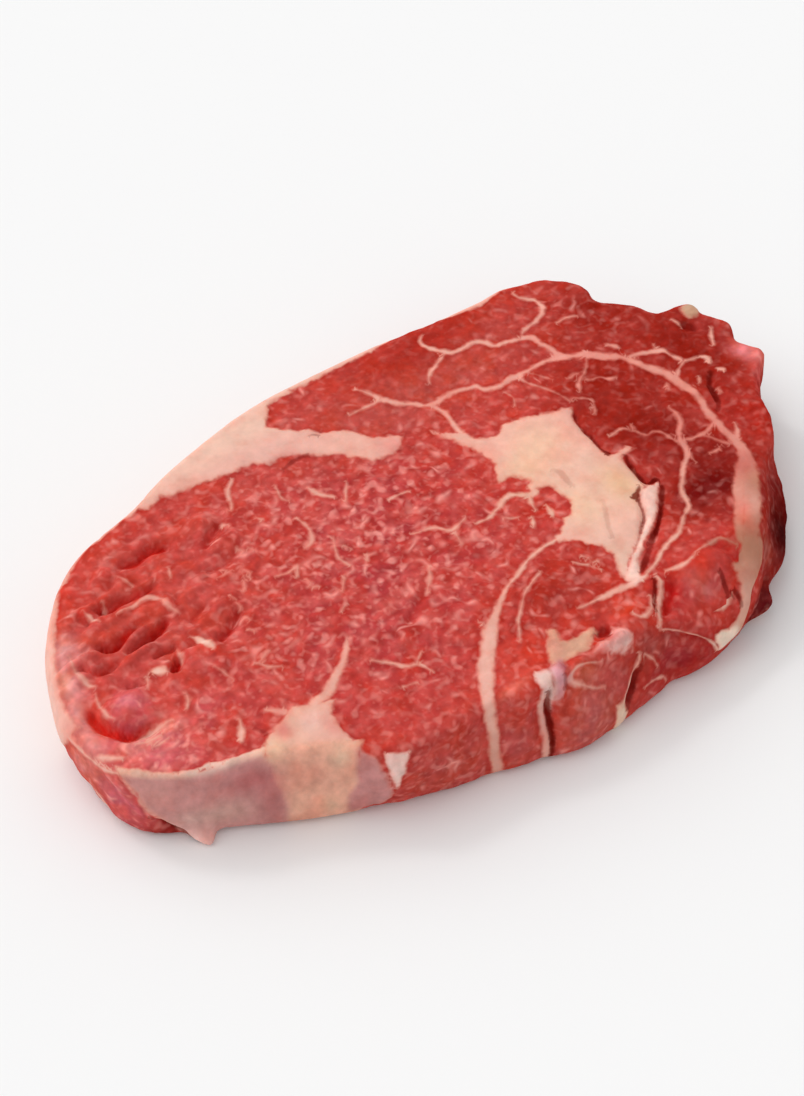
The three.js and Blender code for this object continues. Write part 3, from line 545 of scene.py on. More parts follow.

# Painted shade in creases between fat, membranes and bundles: points with half width and darkness.
CREASES = [
    [(58, 6.6, 0.2, 0.3), (57, 4.6, 0.3, 0.4), (55.9, 2, 0.2, 0.4), (55.2, -1, 0.3, 0.5),
     (54.9, -4.6, 0.4, 0.6), (54.2, -8.2, 0.3, 0.8), (54.6, -11.2, 0.6, 1)],
    [(58, -14.2, 0.3, 0.6), (57, -15.4, 0.4, 0.8), (56.3, -18.5, 0.35, 0.9), (56, -22, 0.4, 0.9),
     (56, -24.6, 0.3, 0.8), (58.3, -25.4, 0.8, 1), (59, -26, 0.4, 0.8)],
    [(53.4, -24.4, 0.2, 0.7), (52, -25.6, 0.35, 1), (50, -26.8, 0.85, 1), (49, -26.8, 0.4, 1)],
    [(50.4, -27.4, 0.25, 0.9), (49.2, -29.8, 0.25, 0.6), (47.5, -32.6, 0.3, 0.7),
     (44.9, -35, 0.3, 0.7), (42.2, -37.6, 0.25, 0.5), (39.7, -39, 0.2, 0.3)],
    [(58.2, -28.2, 0.5, 0.8), (54.9, -31.8, 0.5, 0.8), (51.4, -34.8, 0.5, 0.9), (48.2, -37.2, 0.5, 1),
     (45.4, -39.2, 0.6, 0.9), (42.6, -41, 0.5, 0.6)],
    [(42.9, -40.9, 0.3, 0.5), (39.4, -43, 0.6, 0.7), (36.2, -45.4, 0.7, 0.8), (34.6, -46.6, 0.3, 0.6)],
    [(39, -7, 0.4, 0.15), (40, -9.4, 0.7, 0.25), (39.7, -12.4, 0.7, 0.25), (39.7, -14.5, 0.4, 0.15)],
    [(42.3, -22.6, 0.3, 0.1), (40.3, -26.3, 0.5, 0.2), (38, -30, 0.5, 0.2), (36.2, -33.6, 0.4, 0.2)],
    [(95.9, -6.1, 0.4, 0.5), (92.8, -9.2, 0.6, 0.7), (91, -12.7, 0.8, 0.8), (89.3, -16.4, 0.6, 0.7),
     (87.6, -17.8, 0.4, 0.5)],
    [(102.6, 12.8, 0.8, 0.2), (103.8, 11, 1, 0.35), (105.4, 9.2, 0.6, 0.2)],
    [(-15, 37.4, 0.3, 0.4), (-11, 37.6, 0.5, 0.5), (-7, 37, 0.4, 0.5)],
    [(-3, 42, 0.2, 0.3), (-1.6, 41.6, 0.3, 0.5), (-0.6, 40.2, 0.3, 0.5)],
    [(-70.4, -24.6, 0.3, 0.3), (-69, -28, 0.4, 0.4)],
    [(11.2, -54.2, 0.4, 0.3), (14.2, -54.1, 0.7, 0.4), (15.5, -54.1, 1.2, 0.4),
     (14.9, -56.3, 0.5, 0.5)],
    [(12.6, -59, 0.3, 0.2), (15.4, -57.8, 0.4, 0.25), (17.6, -58.4, 0.2, 0.2)],
    [(-3.4, -54.6, 0.3, 0.2), (-4.4, -57, 0.4, 0.25), (-5.6, -58.6, 0.3, 0.2)],
    [(35.8, -50, 0.3, 0.8), (33.5, -52.7, 0.4, 0.8), (30.9, -55.1, 0.4, 0.8), (29.6, -57.4, 0.3, 0.7)],
    [(51.2, -57.8, 0.4, 0.7), (50.6, -59.7, 0.6, 0.8), (50.1, -62.5, 0.5, 0.6)],
]
# Painted shade in the creases of the wall: points on it with half width and darkness.
WALL_CREASES = [
    [(-6.8, -58, 22, 0.5, 0.8), (-7.6, -60, 17, 0.6, 1), (-8.2, -61.6, 12, 0.6, 1),
     (-8.4, -62.6, 7, 0.5, 1), (-8.6, -62, 1, 0.4, 0.9)],
    [(20.4, -62.8, 15, 0.5, 0.5), (17.8, -64, 12.6, 0.8, 0.8), (15.4, -65.6, 9, 1, 0.8),
     (13.8, -66, 6, 0.5, 0.6)],
    [(50.7, -58.4, 22.6, 0.4, 0.6), (50.3, -60, 21, 0.5, 0.8), (50.2, -62.5, 19, 0.5, 0.6)],
    [(-1.4, -58, 23.6, 0.4, 0.4), (-2.4, -59.6, 20.6, 0.5, 0.5)],
    [(-99.8, -20.2, 9.6, 0.4, 0.5), (-97, -23, 5, 0.5, 0.7), (-94.6, -25, 1, 0.6, 0.9)],
]

# ---- Tints, as screen colours from 0 to 255: middle, half widths along X, Y, Z, colour, strength ----

LEAN_BASE = (196, 66, 56)
LEAN_TINTS = [
    # the eye muscle and its far end
    ((-30, -5, 25), (40, 34, 12), (184, 66, 67), 0.8),
    ((-5, 10, 25), (26, 26, 12), (180, 62, 62), 0.7),
    ((-66, 16, 25), (30, 24, 12), (199, 77, 67), 0.9),
    ((-92, -14, 25), (15, 9, 12), (209, 102, 107), 0.8),
    ((-99, 3, 25), (5, 14, 10), (214, 84, 76), 0.8),
    ((-84, 36, 25), (14, 6, 10), (210, 70, 58), 0.7),
    ((-89, 0, 27), (6, 4.5, 10), (212, 99, 105), 0.8),
    # a painted highlight on the top of the lump
    ((-90.4, 0.4, 27.6), (1.8, 3, 3), (218, 138, 148), 0.9),
    ((-92, -4.6, 26), (4.4, 1.6, 3), (188, 58, 74), 0.7),
    ((-93.6, -9.4, 24.5), (3.4, 1.8, 3), (238, 172, 158), 0.9),
    ((-87, -11, 25), (4.4, 1.8, 3), (238, 160, 150), 0.8),
    ((-99.4, -1, 24), (1.6, 2.6, 3), (218, 70, 44), 0.9),
    # the cap
    ((30, 40, 25), (42, 14, 12), (192, 82, 71), 0.9),
    ((40, 50, 25), (26, 9, 12), (170, 41, 29), 0.8),
    ((70, -4, 24), (14, 26, 12), (124, 26, 18), 1.0),
    ((70, 1, 24), (11, 12, 12), (164, 44, 33), 0.9),
    ((77, -27, 24), (9, 9, 12), (138, 34, 26), 0.7),
    ((67, -36, 25), (12, 8, 12), (108, 18, 11), 1.0),
    ((98, 4, 24), (14, 26, 12), (144, 31, 20), 0.9),
    ((88, 32, 24), (14, 14, 12), (148, 34, 24), 0.9),
    ((96, -24, 24.5), (9, 9, 5), (178, 43, 33), 0.9),
    # the small round muscle and the front edge
    ((14, -38, 26), (16, 9, 12), (168, 53, 44), 0.9),
    ((52, -53, 26), (9, 5, 8), (204, 72, 62), 1.0),
    ((44, -58, 24), (9, 4, 8), (192, 72, 68), 0.8),
    ((48, -54.5, 26), (3.6, 2.6, 5), (214, 66, 52), 0.9),
    ((43.6, -56, 24.6), (3, 2.4, 4), (210, 100, 94), 0.9),
    ((45.5, -59.4, 21.6), (2.6, 1.8, 3), (226, 148, 140), 0.9),
    ((43.4, -63.6, 18.6), (4, 3, 4), (184, 56, 48), 0.9),
    ((37, -54.6, 24), (2.8, 4.4, 6), (184, 24, 24), 1.0),
    ((33, -58, 23), (3, 4, 6), (176, 40, 36), 0.9),
    ((23.4, -53, 25), (4, 3, 6), (210, 70, 48), 0.9),
    ((-4, -50, 25), (10, 6, 8), (204, 66, 52), 0.8),
    ((-14.5, -54, 24.8), (5.4, 1.4, 3), (232, 116, 98), 0.9),
    ((3.6, -60.4, 21), (4.4, 2.6, 2.6), (208, 98, 78), 0.9),
    # the front wall and the rim of the rounded end
    ((-36, -54, 10), (18, 8, 12), (184, 75, 67), 1.0),
    ((-102, -12, 14), (6, 12, 14), (207, 99, 104), 1.0),
    ((-104, -2, 19), (4, 7, 8), (222, 132, 120), 0.9),
    ((-93, 24, 24.5), (4.4, 5, 5), (236, 162, 150), 0.9),
    ((-97.6, 16, 24), (3.6, 5.4, 5), (242, 178, 168), 0.9),
    ((-101, 7, 24), (3, 5.4, 5), (240, 164, 152), 0.9),
    ((-102.4, -2, 24), (2, 5, 5), (236, 148, 136), 0.9),
    ((-93, -10.6, 24.6), (5.4, 3.4, 5), (228, 136, 130), 0.9),
    ((-98, -23, 1), (8, 6, 5), (120, 24, 22), 0.9),
    ((-17, -60, 10), (6, 6, 12), (184, 74, 68), 1.0),
    ((4, -63, 8), (12, 6, 12), (187, 94, 86), 1.0),
    ((3.5, -61, 21), (4, 3, 4), (200, 96, 74), 0.9),
    ((34, -65, 12), (16, 6, 9), (160, 44, 46), 1.0),
    ((24, -62, 19), (8, 5, 5), (164, 67, 58), 0.9),
    # the wall of the ragged end, its lean darkened with painted shade, and the pale films at its top
    ((62, -60, 6), (9, 9, 11), (98, 16, 20), 1.0),
    ((84, -44, 10), (22, 16, 13), (98, 16, 12), 1.0),
    ((76, -51, 14), (12, 8, 9), (90, 9, 9), 1.0),
    ((78, -51, 12), (7, 5, 5), (54, 6, 8), 0.8),
    ((68, -56.7, 20), (3, 3, 4), (150, 76, 62), 0.9),
    ((58.6, -62.7, 18), (4, 3, 3), (190, 66, 62), 1.0),
    ((61, -62.5, 8), (5, 5, 5), (104, 28, 32), 1.0),
    ((104, -16, 8), (12, 16, 12), (104, 18, 22), 1.0),
    ((108, 10, 10), (12, 20, 12), (138, 48, 46), 1.0),
    ((109, -5, 24.5), (3, 3.6, 4), (240, 134, 130), 1.0),
    ((110.6, -9, 24), (3, 3, 4), (236, 128, 120), 1.0),
    ((106.8, -13.4, 24), (2.2, 2.6, 4), (226, 96, 88), 0.9),
    ((103, -17.4, 24), (2, 2.8, 4), (206, 66, 58), 0.8),
]

FAT_BASE = (239, 182, 166)
FAT_TINTS = [
    # the kernel
    ((42, -6, 25), (24, 30, 12), (243, 194, 174), 1.0),
    ((35, -1, 25), (7, 7, 8), (240, 198, 166), 0.8),
    ((43, 3, 25), (7, 7, 8), (245, 198, 168), 0.8),
    ((37, -21, 25), (6, 7, 8), (242, 198, 168), 0.8),
    ((50, -21, 25), (5, 7, 8), (236, 192, 152), 0.8),
    ((31, 9, 25), (6, 6, 8), (244, 184, 166), 0.9),
    ((34, -38, 25), (5, 7, 8), (232, 190, 170), 0.8),
    # the back band and the rim
    ((-20, 54, 22), (34, 7, 14), (241, 200, 180), 1.0),
    ((-16, 44, 25), (20, 6, 10), (237, 188, 174), 0.8),
    ((8, 30, 25), (10, 8, 10), (240, 194, 176), 0.8),
    ((-14, 38.5, 25), (5, 3, 8), (206, 150, 146), 0.8),
    ((-100, 10, 22), (8, 26, 12), (238, 190, 176), 1.0),
    ((-74, 44, 22), (20, 8, 12), (226, 160, 146), 0.9),
    # the front patch, the flaps and the front wall
    ((-62, -30, 25), (12, 6, 10), (238, 190, 164), 0.9),
    ((-52, -32, 25), (6, 7, 8), (234, 176, 160), 0.8),
    ((-92, -22, 24.6), (14, 8, 2.4), (236, 182, 162), 0.9),
    ((-47.5, -52, 19), (3, 3, 8), (234, 192, 182), 1.0),
    ((-24, -58, 10), (6, 6, 9), (222, 162, 144), 0.9),
    ((-8, -59, 14), (4, 5, 12), (222, 160, 150), 0.9),
    ((4, -53, 25), (6, 4, 6), (222, 168, 148), 1.0),
    ((-7, -57, 24), (3, 5, 6), (240, 206, 196), 0.9),
    ((-2.6, -57.5, 24), (2.6, 3, 5), (212, 146, 148), 1.0),
    ((15, -59, 25), (6, 4, 6), (238, 176, 166), 0.9),
    # the seams of the cap and the corner band
    ((13, 25.5, 25), (5, 4, 6), (228, 150, 142), 0.9),
    ((80, -20, 25), (10, 30, 8), (222, 138, 124), 0.9),
    ((70, 22, 25), (24, 18, 8), (239, 160, 147), 0.9),
    ((30, 30, 25), (24, 12, 8), (240, 166, 152), 0.9),
    ((72, -6, 25), (13, 22, 8), (224, 138, 126), 0.9),
    ((79, -37, 25), (6, 6, 8), (202, 118, 107), 1.0),
    ((62, -56, 22), (12, 10, 12), (180, 122, 98), 1.0),
    ((78, -43, 25), (5, 4.4, 6), (190, 130, 106), 0.8),
    ((68.4, -46.6, 25.7), (2.6, 3.4, 5), (224, 130, 116), 0.8),
    ((66, -50.6, 26), (2.2, 3.6, 3), (216, 104, 84), 0.7),
    ((50.4, -65, 15), (4, 4, 6), (204, 148, 124), 1.0),
    ((43, -67, 15.5), (5, 4, 7), (238, 206, 188), 1.0),
    # the strands of the eye muscle
    ((-50, 10, 25), (40, 34, 8), (234, 156, 142), 0.9),
    ((-64.8, 3.6, 25), (3, 4, 6), (246, 204, 186), 1.0),
    ((-78.2, 4, 25), (2.6, 2.6, 6), (242, 196, 178), 1.0),
]

# Stains of the membranes and of the fat between them.
SKIN_TINTS = [
    ((-76.6, -32, 18), (8, 6, 5), (192, 120, 120), 0.9),
    ((-85, -29.4, 9), (9, 7, 4.4), (206, 162, 150), 0.8),
    ((-97, -20, 18), (4, 5, 6), (214, 154, 146), 0.8),
    ((-74, -35.8, 10), (3.6, 5, 7), (178, 110, 108), 0.8),
    ((-92, -25.4, 8), (4, 4, 3), (216, 172, 162), 0.7),
    # painted light: the scrap at the foot is painted paler than it is, against the shade there
    ((-91, -25.8, 1.2), (5, 5, 3), (255, 206, 196), 1.0),
    ((-88, -27, 25), (12, 6, 1.4), (246, 210, 196), 0.9),
    ((-64.6, -39, 18), (3.6, 3, 3.4), (218, 146, 126), 0.8),
    ((-62, -43, 7), (3, 3, 3.4), (240, 190, 160), 0.7),
    ((-68.4, -38, 7), (2.4, 3, 4), (240, 184, 158), 0.6),
    ((-70, -32, 25), (3, 2.6, 3), (238, 196, 166), 0.8),
    ((-65.4, -29.4, 25.4), (2.2, 2.8, 3), (224, 134, 124), 0.9),
    ((-63, -24.6, 25.4), (3, 2, 3), (230, 144, 134), 0.8),
    ((-59, -31.6, 25.4), (3.4, 3, 3), (244, 198, 186), 0.8),
    ((-55.6, -36, 25), (1.6, 3, 3), (228, 150, 138), 0.7),
    ((-58, -42.4, 22.6), (3, 2.4, 3), (242, 200, 172), 0.8),
    ((13, -60.4, 24), (2, 1, 2.4), (242, 208, 198), 0.8),
    ((17.4, -60.4, 22), (1.8, 1.6, 2.4), (244, 206, 196), 0.8),
    ((14.4, -57.2, 25.8), (1.8, 1.2, 2.4), (224, 112, 106), 0.9),
    ((15.4, -59.7, 25.4), (1.3, 0.6, 1.6), (160, 116, 110), 0.6),
    ((10, -59.2, 24), (2, 1.4, 3), (226, 130, 124), 0.8),
    ((2, -50, 25), (2.4, 4, 4), (226, 150, 134), 0.6),
    ((-5.6, -57.4, 23), (1.4, 2, 4), (212, 170, 156), 0.7),
    ((-2.8, -57.6, 25), (1.2, 2.4, 3), (224, 164, 172), 0.8),
    ((-0.4, -57.4, 25), (1, 2.6, 3), (176, 84, 92), 0.9),
    ((-19, -38, 25), (3, 12, 10), (236, 168, 156), 0.5),
    ((-103, 3.6, 22.4), (3, 5, 5), (230, 144, 130), 0.8),
    ((-99, 11, 24), (3, 4, 3), (234, 156, 142), 0.7),
]

# How much marbling the lean has, from 0 to 1: middle, half widths along X, Y, Z, amount, strength.
MARBLED = [
    ((-14, 4, 25), (34, 34, 12), 0.80, 1.0),
    ((-50, -8, 25), (22, 16, 12), 0.70, 0.9),
    ((80, -48, 10), (28, 18, 12), 0.0, 1.0),
    ((108, 0, 8), (14, 30, 12), 0.08, 1.0),
    ((-72, 18, 25), (24, 22, 12), 0.25, 1.0),
    ((-90, -15, 25), (13, 8, 12), 0.95, 1.0),
    ((36, 40, 25), (40, 16, 12), 0.2, 0.9),
    ((36, 48, 25), (30, 9, 12), 0.08, 0.9),
    ((66, -2, 25), (12, 24, 12), 0.06, 1.0),
    ((96, 6, 25), (16, 24, 12), 0.08, 1.0),
    ((14, -38, 25), (16, 9, 12), 0.34, 1.0),
    ((76, -30, 25), (14, 14, 12), 0.14, 1.0),
    ((50, -54, 25), (12, 7, 8), 0.10, 1.0),
    ((36, -66, 10), (30, 8, 12), 0.16, 1.0),
]


# ---- Curves and fields ----


def knot_span(a, b):
    """The root of the distance between two knots, which keeps a curve from swinging out."""
    return math.sqrt(max(np.linalg.norm((b - a)[:2]), 1e-6))


def smooth_path(points, steps, closed=False):
    """Points along a smooth curve through the given ones, steps to each stretch."""
    knots = np.array(points, float)
    if closed:
        knots = np.vstack([knots[-1:], knots, knots[:2]])
    else:
        first = 2 * knots[0] - knots[1]
        last = 2 * knots[-1] - knots[-2]
        knots = np.vstack([first, knots, last])
    made = []
    for a, b, c, d in zip(knots, knots[1:], knots[2:], knots[3:]):
        before = knot_span(a, b)
        here = knot_span(b, c)
        after = knot_span(c, d)
        leave = ((b - a) / before - (c - a) / (before + here) + (c - b) / here) * here
        arrive = ((c - b) / here - (d - b) / (here + after) + (d - c) / after) * here
        t = np.arange(steps)[:, None] / steps
        stretch = b + leave * t + (3 * (c - b) - 2 * leave - arrive) * t**2
        made.append(stretch + (2 * (b - c) + leave + arrive) * t**3)
    if not closed:
        made.append(knots[-2:-1])
    return np.vstack(made)


def polar_outline(points):
    """An outline as a function: the angle about MIDDLE gives the distance from it."""
    rim = smooth_path(points, 16, closed=True) - MIDDLE
    angles = np.arctan2(rim[:, 1], rim[:, 0])
    reach = np.hypot(rim[:, 0], rim[:, 1])
    order = np.argsort(angles)
    return lambda angle: np.interp(angle, angles[order], reach[order], period=2 * np.pi)


upper_reach = polar_outline(UPPER_OUTLINE)
lower_reach = polar_outline(LOWER_OUTLINE)


def bell(t):
    """1 where t is 0, falling to almost 0 by 2 on either side."""
    return np.exp(-t * t)


def smooth_step(low, high, value):
    """0 up to low, 1 from high on, and a smooth rise between them."""
    s = np.clip((value - low) / (high - low), 0, 1)
    return s * s * (3 - 2 * s)


def faded_ends(along, share):
    """1 along the middle of a path, falling to 0 over a share of it at each end."""
    return smooth_step(0, share, np.minimum(along, 1 - along))


def hill(centre, half, x, y):
    """A soft round hill, 1 high, with these half widths."""
    return bell(np.hypot((x - centre[0]) / half[0], (y - centre[1]) / half[1]))


def ripple(places, size, seed):
    """Smooth random values from -1 to 1 that change over about size millimetres."""
    scaled = places / np.asarray(size, float) + seed * 17.3
    return np.array([noise.noise(p) for p in scaled.tolist()])


def ridged(places, size, seed):
    """Rounded lumps with sharp folds between them, along the lines where a ripple is 0."""
    return np.abs(ripple(places, size, seed)) - 0.25


def from_path(x, y, path):
    """Distance to a path, with the share along it and the side of it at the nearest point."""
    away = np.full(x.shape, np.inf)
    along = np.zeros(x.shape)
    side = np.ones(x.shape)
    last = len(path) - 2
    for i, (a, b) in enumerate(zip(path[:-1, :2], path[1:, :2])):
        run = b - a
        length = max(float(run @ run), 1e-9)
        raw = ((x - a[0]) * run[0] + (y - a[1]) * run[1]) / length
        share = np.clip(raw, 0, 1)
        dx = x - a[0] - share * run[0]
        dy = y - a[1] - share * run[1]
        gap = np.hypot(dx, dy)
        near = gap < away
        away[near] = gap[near]
        along[near] = (i + share[near]) / (last + 1)
        past_end = ((i == 0) & (raw < 0)) | ((i == last) & (raw > 1))
        turn = np.where(past_end, 1.0, np.sign(run[0] * dy - run[1] * dx))
        side[near] = turn[near]
    return away, along, np.where(side == 0, 1.0, side)


def near_box(x, y, path, margin):
    """Which points lie within margin of the box around a path."""
    low = path[:, :2].min(axis=0) - margin
    high = path[:, :2].max(axis=0) + margin
    return (x > low[0]) & (x < high[0]) & (y > low[1]) & (y < high[1])


def inside_outline(x, y, path):
    """Distance inside a closed outline, which is negative outside it, down to -FAR_FROM_FAT."""
    closed = np.vstack([path, path[:1]])
    result = np.full(x.shape, -FAR_FROM_FAT)
    chosen = near_box(x, y, closed, FAR_FROM_FAT)
    px = x[chosen]
    py = y[chosen]
    away, _, _ = from_path(px, py, closed)
    crossings = np.zeros(px.shape, int)
    for a, b in zip(closed[:-1], closed[1:]):
        spans = (a[1] > py) != (b[1] > py)
        rise = b[1] - a[1] if abs(b[1] - a[1]) > 1e-9 else 1e-9
        meets = a[0] + (py - a[1]) * (b[0] - a[0]) / rise
        crossings += spans & (px < meets)
    result[chosen] = np.maximum(-FAR_FROM_FAT, np.where(crossings % 2 == 1, away, -away))
    return result


# ---- The slab's form ----


def edge_fall(radius, inside):
    """How far a rounded edge falls below the flat, at a distance inside it."""
    short = np.maximum(0, radius - inside)
    return radius - np.sqrt(np.maximum(0, radius * radius - short * short))


def wall_reach(angle, height):
    """Distance of the wall from MIDDLE in one direction and at one height."""
    rise = np.clip(height / WALL_TOP, 0, 1)
    foot = lower_reach(angle)
    rim = upper_reach(angle)
    swell = WALL_SWELL * np.sin(np.pi * rise) - edge_fall(FOOT_EDGE, height)
    return foot + (rim - foot) * smooth_step(0, 1, rise) + swell


def place_on_slab(u, v, w):
    """Moves corners of a box, each coordinate from -1 to 1, to their places on the plain slab."""
    almost_one = 0.9999
    disc_x = u * np.sqrt(1 - v * v / 2)
    disc_y = v * np.sqrt(1 - u * u / 2)
    angle = np.arctan2(disc_y * HALF_WIDTH, disc_x * HALF_LENGTH)
    share = np.minimum(1, np.hypot(disc_x, disc_y))
    rim = upper_reach(angle)
    height = (w + 1) / 2 * WALL_TOP
    reach = share * wall_reach(angle, height)
    on_top = (w > almost_one) & (share < almost_one)
    reach = np.where(on_top, share * rim, reach)
    cut = THICKNESS - edge_fall(CUT_EDGE, (1 - share) * rim)
    height = np.where(on_top, cut, height)
    return MIDDLE[0] + reach * np.cos(angle), MIDDLE[1] + reach * np.sin(angle), height


def cleft_depths(x, y):
    """Depth of all the clefts together at each point, steep at the back and gentle in front."""
    total = np.zeros(x.shape)
    for points, half, depth in CLEFTS:
        path = smooth_path(points, 8)
        chosen = near_box(x, y, path, 3 * half + 1)
        away, along, side = from_path(x[chosen], y[chosen], path)
        rightward = points[-1][0] > points[0][0]
        behind = (side > 0) == rightward
        width = np.where(behind, STEEP_SIDE * half, GENTLE_SIDE * half)
        total[chosen] += depth * bell(away / width) * faded_ends(along, 0.22)
    return total


def upper_relief(x, y):
    """Height of the upper face over a plain cut."""
    lift = np.zeros(x.shape)
    for centre, half, height in SWELLS + BUNDLES:
        lift += height * hill(centre, half, x, y)
    return lift


def scrap_push(x, y, z):
    """How far the scraps and lobes push the wall along X and Y."""
    dx = np.zeros(x.shape)
    dy = np.zeros(x.shape)
    for middle, spread, push in SCRAPS:
        along = np.hypot(x - middle[0], y - middle[1]) / spread[0]
        strength = bell(along) * bell((z - middle[2]) / spread[1])
        dx += strength * push[0]
        dy += strength * push[1]
    return dx, dy


# ---- Unrolled wall ----


def wall_rounds():
    """The way round the upper outline from its back, at every half degree of turn."""
    turns = np.linspace(0, 2 * np.pi, 2 * 360 + 1)
    angle = turns + np.pi / 2
    reach = upper_reach(angle)
    rim = np.stack([reach * np.cos(angle), reach * np.sin(angle)], axis=1)
    steps = np.hypot(*np.diff(rim, axis=0).T)
    return turns, np.concatenate([[0], np.cumsum(steps)])


TURNS, ROUNDS = wall_rounds()


def unroll(x, y, z):
    """Way round the wall from the back, way up it and over the cut face, and depth in the slab."""
    angle = np.arctan2(y - MIDDLE[1], x - MIDDLE[0])
    turn = np.mod(angle - np.pi / 2, 2 * np.pi)
    out = np.hypot(x - MIDDLE[0], y - MIDDLE[1])
    depth = wall_reach(angle, np.clip(z, 0, WALL_TOP)) - out
    return np.interp(turn, TURNS, ROUNDS), z + np.maximum(0, depth), depth


def unrolled_path(points):
    """A path or outline on the wall, each point unrolled, with its other values after it."""
    made = np.array(points, float)
    around, up, _ = unroll(*made[:, :3].T)
    return np.column_stack([around, up, made[:, 3:]])


# ---- Mesh ----


def read_vectors(items, kind):
    """One row of three numbers for each vertex or normal of a mesh."""
    flat = np.empty(len(items) * 3)
    items.foreach_get(kind, flat)
    return flat.reshape(-1, 3)


def set_places(mesh, places):
    mesh.vertices.foreach_set("co", places.ravel())
    mesh.update()


def subdivided_box():
    """A box from -1 to 1, cut into even rows of faces along each axis."""
    form = bmesh.new()
    bmesh.ops.create_cube(form, size=2)
    for axis, faces in enumerate(BOX_FACES):
        runs = [e for e in form.edges if abs(e.verts[0].co[axis] - e.verts[1].co[axis]) > 1]
        bmesh.ops.subdivide_edges(form, edges=runs, cuts=faces - 1, use_grid_fill=True)
    return form


def even_skin(mesh):
    """The same shape with small faces of one size all over."""
    piece = bpy.data.objects.new("plain_slab", mesh)
    bpy.context.scene.collection.objects.link(piece)
    skin = piece.modifiers.new("even skin", "REMESH")
    skin.mode = "VOXEL"
    skin.voxel_size = SKIN_STEP
    seen = bpy.context.evaluated_depsgraph_get()
    even = bpy.data.meshes.new_from_object(piece.evaluated_get(seen))
    bpy.data.objects.remove(piece)
    return even


def plain_slab():
    """The slab without relief, its places in millimetres."""
    form = subdivided_box()
    mesh = bpy.data.meshes.new("plain_slab")
    form.to_mesh(mesh)
    form.free()
    placed = place_on_slab(*read_vectors(mesh.vertices, "co").T)
    set_places(mesh, np.stack(placed, axis=1))
    skin = even_skin(mesh)
    bpy.data.meshes.remove(mesh)
    return skin


def relax(mesh, rounds):
    """Smooths the corners that the even skin leaves."""
    form = bmesh.new()
    form.from_mesh(mesh)
    for _ in range(rounds):
        bmesh.ops.smooth_vert(
            form, verts=form.verts, factor=0.5, use_axis_x=True, use_axis_y=True, use_axis_z=True
        )
    bmesh.ops.recalc_face_normals(form, faces=form.faces)
    form.to_mesh(mesh)
    form.free()


# ---- Fat on the mesh's points ----


def seen_colour(colour):
    """The paint that looks like this screen colour in the room's light, under the wet sheen."""
    screen = np.array(colour, float) / 255
    light = np.where(screen <= 0.04045, screen / 12.92, ((screen + 0.055) / 1.055) ** 2.4)
    return np.maximum(light - SHEEN, DARKEST_PAINT) / ROOM_LIGHT


def fat_spots(places):
    """Where each point looks for the sheets and columns, which wander and lean with depth."""
    wander = np.stack([ripple(places, 7, 1), ripple(places, 7, 2)], axis=1) * FAT_WANDER
    depth = (THICKNESS - places[:, 2])[:, None] / THICKNESS
    tilt = np.stack([ripple(places, 30, 3), ripple(places, 30, 4)], axis=1) * depth * FAT_TILT
    return (places[:, :2] + wander + tilt).T


def rim_fat_width(x, y):
    """Width of the fat along the rim in each direction from MIDDLE."""
    angles = np.array([math.atan2(p[1] - MIDDLE[1], p[0] - MIDDLE[0]) for p, _ in RIM_FAT])
    widths = np.array([width for _, width in RIM_FAT])
    order = np.argsort(angles)
    angle = np.arctan2(y - MIDDLE[1], x - MIDDLE[0])
    return np.interp(angle, angles[order], widths[order], period=2 * np.pi)


def fat_parts(places):
    """How far inside the rim's fat each point is, and each column and patch, with its colour."""
    x, y = fat_spots(places)
    around, up, depth = unroll(*places.T)
    under = np.maximum(0, THICKNESS - RIM_FAT_DEPTH - places[:, 2])
    rim = np.maximum(rim_fat_width(x, y) - depth - under, -FAR_FROM_FAT)
    parts = [(inside_outline(x, y, np.array(path, float)), own) for path, own in FAT_COLUMNS]
    waver = ripple(places, 8, 5) * PATCH_WAVER
    for path, own in WALL_PATCHES:
        patch = inside_outline(around + waver, up, unrolled_path(path))
        parts.append((np.where(depth < PATCH_DEPTH, patch, -FAR_FROM_FAT), own))
    return rim, parts


def column_reach(places):
    """How far inside the fat each point is, and the own colour of the fat, if any, with its cover."""
    reach, parts = fat_parts(places)
    colour = np.zeros((len(places), 3))
    cover = np.zeros((len(places), 1))
    for inside, own in parts:
        reach = np.maximum(reach, inside)
        share = smooth_step(-1.2, 0.8, inside)[:, None]
        cover = cover * (1 - share) + share * (own is not None)
        colour = colour * (1 - share) + share * (seen_colour(own) if own else 0)
    return reach, colour, cover


def nearest_strand(x, y, strands, best, found):
    """Notes for each point the nearest strand's distance, signed distance and other values."""
    for path in strands:
        chosen = np.flatnonzero(near_box(x, y, path, FAR_FROM_STRAND))
        gap, along, turn = from_path(x[chosen], y[chosen], path)
        steps = np.linspace(0, 1, len(path))
        values = [np.interp(along, steps, column) for column in path[:, 2:].T]
        near = gap - values[0] < best[chosen]
        spots = chosen[near]
        best[spots] = (gap - values[0])[near]
        found[spots] = np.stack([gap, gap * turn, *values], axis=1)[near]


def strand_distances(places, sheets, strands):
    """Distance, signed distance, half thickness and so on of the nearest sheet or wall strand."""
    x, y = fat_spots(places)
    around, up, depth = unroll(*places.T)
    best = np.full(x.shape, np.inf)
    found = np.zeros((len(x), len(sheets[0][0])))
    found[:, :2] = FAR_FROM_STRAND
    nearest_strand(x, y, [smooth_path(sheet, 4) for sheet in sheets], best, found)
    off_wall = np.where(depth < WALL_DEPTH, 0, OUT_OF_THE_WAY)
    paths = [smooth_path(unrolled_path(strand), 4) for strand in strands]
    nearest_strand(around + off_wall, up, paths, best, found)
    return found


# ---- Relief ----


